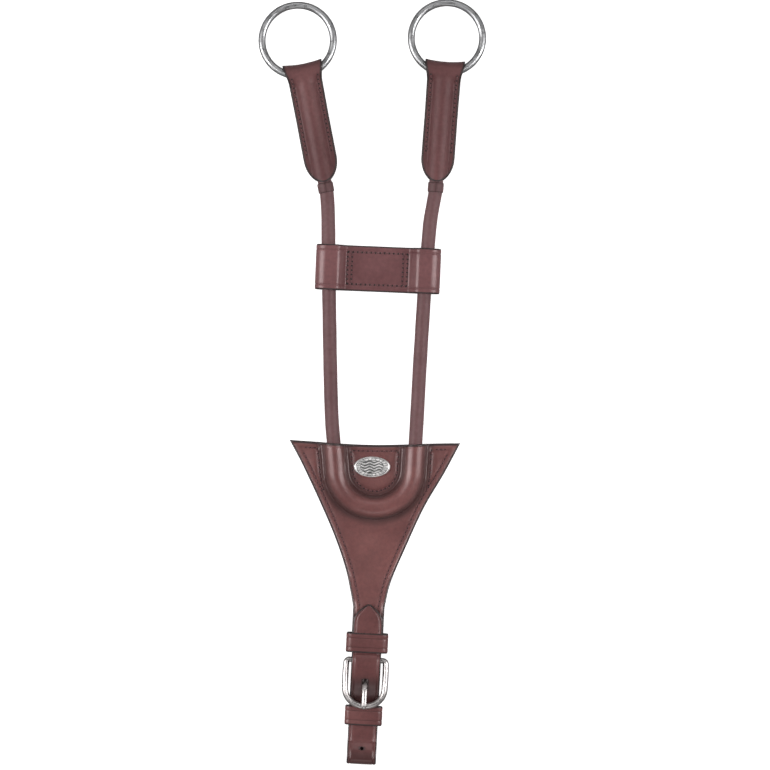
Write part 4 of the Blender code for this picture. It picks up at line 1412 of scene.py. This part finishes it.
def make_band():
    obj = strip("slide_band_leather", band_path(), BAND_T / 2, BAND_HALF_HEIGHT, band_place, 3.7,
                closed=True, middle=10)
    co = coords(obj)
    _, a = BAND.back(co)
    panel = (co[:, 2] > 6.0) & (np.abs(a) < 23.5)
    paint(obj, "shade_and_stain", np.where(panel, 0.0, painted(obj, "shade_and_stain")))
    show(obj, BAND_LEATHER, "slide", ["slide_band"])
    panel_z = 5.4 + 0.25 + BAND_T

    def surface(x, y):
        return panel_z + 0.02, 1

    half_b = 11.2
    left, right = BAND_PANEL[0] + 0.8, BAND_PANEL[1] - 0.8

    rows = {
        "top": ((left, half_b), (0, half_b), (right, half_b)),
        "bottom": ((left, -half_b), (0, -half_b), (right, -half_b)),
    }
    for label, u in (("left_outer", left), ("left_inner", left + 3.0),
                     ("right_outer", right), ("right_inner", right - 3.0)):
        rows[label] = ((u, -half_b), (u, 0), (u, half_b))
    for label, corners in rows.items():
        points = [Vector(band_place(u, 0, v)[:2]) for u, v in corners]
        stitch_row(f"stitch_band_{label}", points, surface, "slide", margin=0.4)
        stitch_row(f"stitch_band_back_{label}", points, under_surface, "slide", margin=0.4)
    make_band_core()


def make_band_core():
    """Filler strip between the band's two layers."""
    a0, a1, half_b, z0, z1 = -21.6, 20.6, 13.6, 2.45, 5.4
    mid_z, half_z = (z0 + z1) / 2, (z1 - z0) / 2
    corner = ((half_b, 0.7), (half_b - 0.3, 0.95), (half_b - 0.8, 1.0))
    upper = [(half_b, 0), *corner, (0, 1.0)] + [(-b, z) for b, z in corner[::-1]]
    section = upper + [(-b, -z) for b, z in upper]
    rings = []
    for k in range(23):
        a = a0 + (a1 - a0) * k / 22
        rings.append([band_place(a, mid_z + half_z * z, b) for b, z in section])
    obj = solid("slide_filler_leather", *loft(rings), smooth_angle=50)
    b, _ = BAND.back(coords(obj))
    paint(obj, "edge", step01(half_b - 0.9, half_b - 0.3, np.abs(b)))
    show(obj, STRAP_LEATHER, "slide", ["slide_core"])


# ---------------------------------------------------------------- badge
def make_badge():
    """Oval plate: raised rim, and a field with darkened grooves in it."""
    low, high = box_mm("badge_plate")
    cx, cy = (low[0] + high[0]) / 2, (low[1] + high[1]) / 2
    rx, ry = (high[0] - low[0]) / 2, (high[1] - low[1]) / 2
    base = 4.0
    steps, rows = 160, 46
    profile = [(0.0, 1.0), (0.7, 1.0), (1.2, 0.99), (1.55, 0.97), (1.78, 0.945), (1.86, 0.915), (1.8, 0.885),
               (1.55, 0.865), (1.3, 0.85)]
    rings, shade_and_stain = [], []
    for z, k in profile:
        rings.append(ring_shape(lambda c, s: (cx + rx * k * c, cy + ry * k * s, base + z), steps))
        shade_and_stain += [0.75 if k in (0.865, 0.85) else 0.0] * steps
    for r in range(1, rows):
        k = 0.85 * (1 - r / rows)
        ring = []
        for i in range(steps):
            a = 2 * math.pi * i / steps
            x, y = k * math.cos(a), k * math.sin(a)
            lift, dark = badge_relief(x * rx, y * ry, k)
            ring.append((cx + rx * x, cy + ry * y, base + 1.25 + lift))
            shade_and_stain.append(dark)
        rings.append(ring)
    obj = solid("badge_oval_plate", *loft(rings), smooth_angle=50)
    paint(obj, "shade_and_stain", shade_and_stain)
    show(obj, BADGE_METAL, "bib", ["badge_plate"])


def badge_relief(x, y, k):
    """Ornament height and darkening at a point of the badge's field: wavy reeding inside gadroons."""
    if k < 0.60:
        reed = math.sin(2 * math.pi * (y + 0.55 * math.sin(0.95 * x)) / 2.0)
        groove = min(1.0, max(0.0, 0.5 + 0.9 * reed))
        return 0.14 * groove, 0.85 * (1 - groove)
    if k < 0.65:
        return 0.0, 0.8
    ray = abs(math.cos(11 * math.atan2(y * 1.75, x)))
    groove = min(1.0, ray * 1.6)
    return 0.16 * groove, 0.80 * (1 - groove)


# ---------------------------------------------------------------- stage
# Softboxes, in metres and watts: (name, place, width, length, power).
SOFTBOXES = (
    ("soft_left", (-1.30, 0.10, 1.10), 0.55, 1.5, 19.5),
    ("soft_right", (1.30, 0.10, 1.10), 0.55, 1.5, 16.5),
    ("soft_top", (0.0, 1.4, 1.2), 1.2, 0.35, 3.0),
    ("soft_foot", (0.0, -1.5, 1.1), 1.2, 0.35, 3.0),
)
FLOOR_Z = -0.0004
FLOOR_GLOW = 0.75
WORLD_STRENGTH = 0.17
VIEW_WIDTH = 0.539
VIEW_DISTANCE = 2.6
VIEW_CENTRE = (0.0089, -0.0025)


def make_stage():
    """White ground that glows a little and stays out of reflections, a dim world and four softboxes."""
    bpy.ops.mesh.primitive_plane_add(size=12.0, location=(0, 0, FLOOR_Z))
    floor = bpy.context.object
    floor.name = "floor"
    m = Nodes("floor_paper")
    speck = m.ramp(m.noise(9.0, 3.0), 0.3, 0.7, 0.0, 1.0)
    m.colour(m.mix(speck, (0.93, 0.93, 0.93), (0.96, 0.96, 0.96)))
    m.set(Roughness=0.9, Specular_IOR_Level=0.1)
    m.shader.inputs["Emission Color"].default_value = (1, 1, 1, 1)
    m.shader.inputs["Emission Strength"].default_value = FLOOR_GLOW
    floor.data.materials.append(m.material)
    floor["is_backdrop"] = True
    floor.visible_glossy = False
    world = bpy.data.worlds.new("studio")
    bpy.context.scene.world = world
    world.use_nodes = True
    back = world.node_tree.nodes["Background"]
    back.inputs["Color"].default_value = (1.0, 1.0, 1.0, 1.0)
    back.inputs["Strength"].default_value = WORLD_STRENGTH
    for name, place, width, length, power in SOFTBOXES:
        data = bpy.data.lights.new(name, "AREA")
        data.shape = "RECTANGLE"
        data.size = width
        data.size_y = length
        data.energy = power
        obj = bpy.data.objects.new(name, data)
        bpy.context.scene.collection.objects.link(obj)
        obj.location = place
        obj.rotation_mode = "QUATERNION"
        obj.rotation_quaternion = (-Vector(place)).to_track_quat("-Z", "Y")
        obj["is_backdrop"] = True


def make_camera():
    """Straight down on the piece, VIEW_WIDTH metres across at the cords' height."""
    data = bpy.data.cameras.new("camera")
    camera = bpy.data.objects.new("camera", data)
    bpy.context.scene.collection.objects.link(camera)
    data.sensor_width = 36.0
    data.lens = data.sensor_width * VIEW_DISTANCE / VIEW_WIDTH
    data.clip_end = 50.0
    camera.location = (*VIEW_CENTRE, VIEW_DISTANCE + Z_CORD * MM)
    bpy.context.scene.camera = camera
    view = bpy.context.scene.view_settings
    view.view_transform = "Standard"
    view.look = "None"


make_bib_front()
make_lining()
make_bib_stitches()
make_cord_run()
make_badge()
make_billet()
make_chape()
make_keeper("keeper_upper", "bib", (6.85, 14.7, 0.0, 12.7))
make_keeper("keeper_lower", "keeper_free", (6.85, 13.15, 0.0, 7.3))
make_buckle()
make_tongue()
for which in ("left", "right"):
    make_cord(which)
    make_tab(which)
    make_ring(which)
make_band()
make_stage()
make_camera()

{"cad": [list(v) for v in CAD_BOX], "visual": [list(v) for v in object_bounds()]}
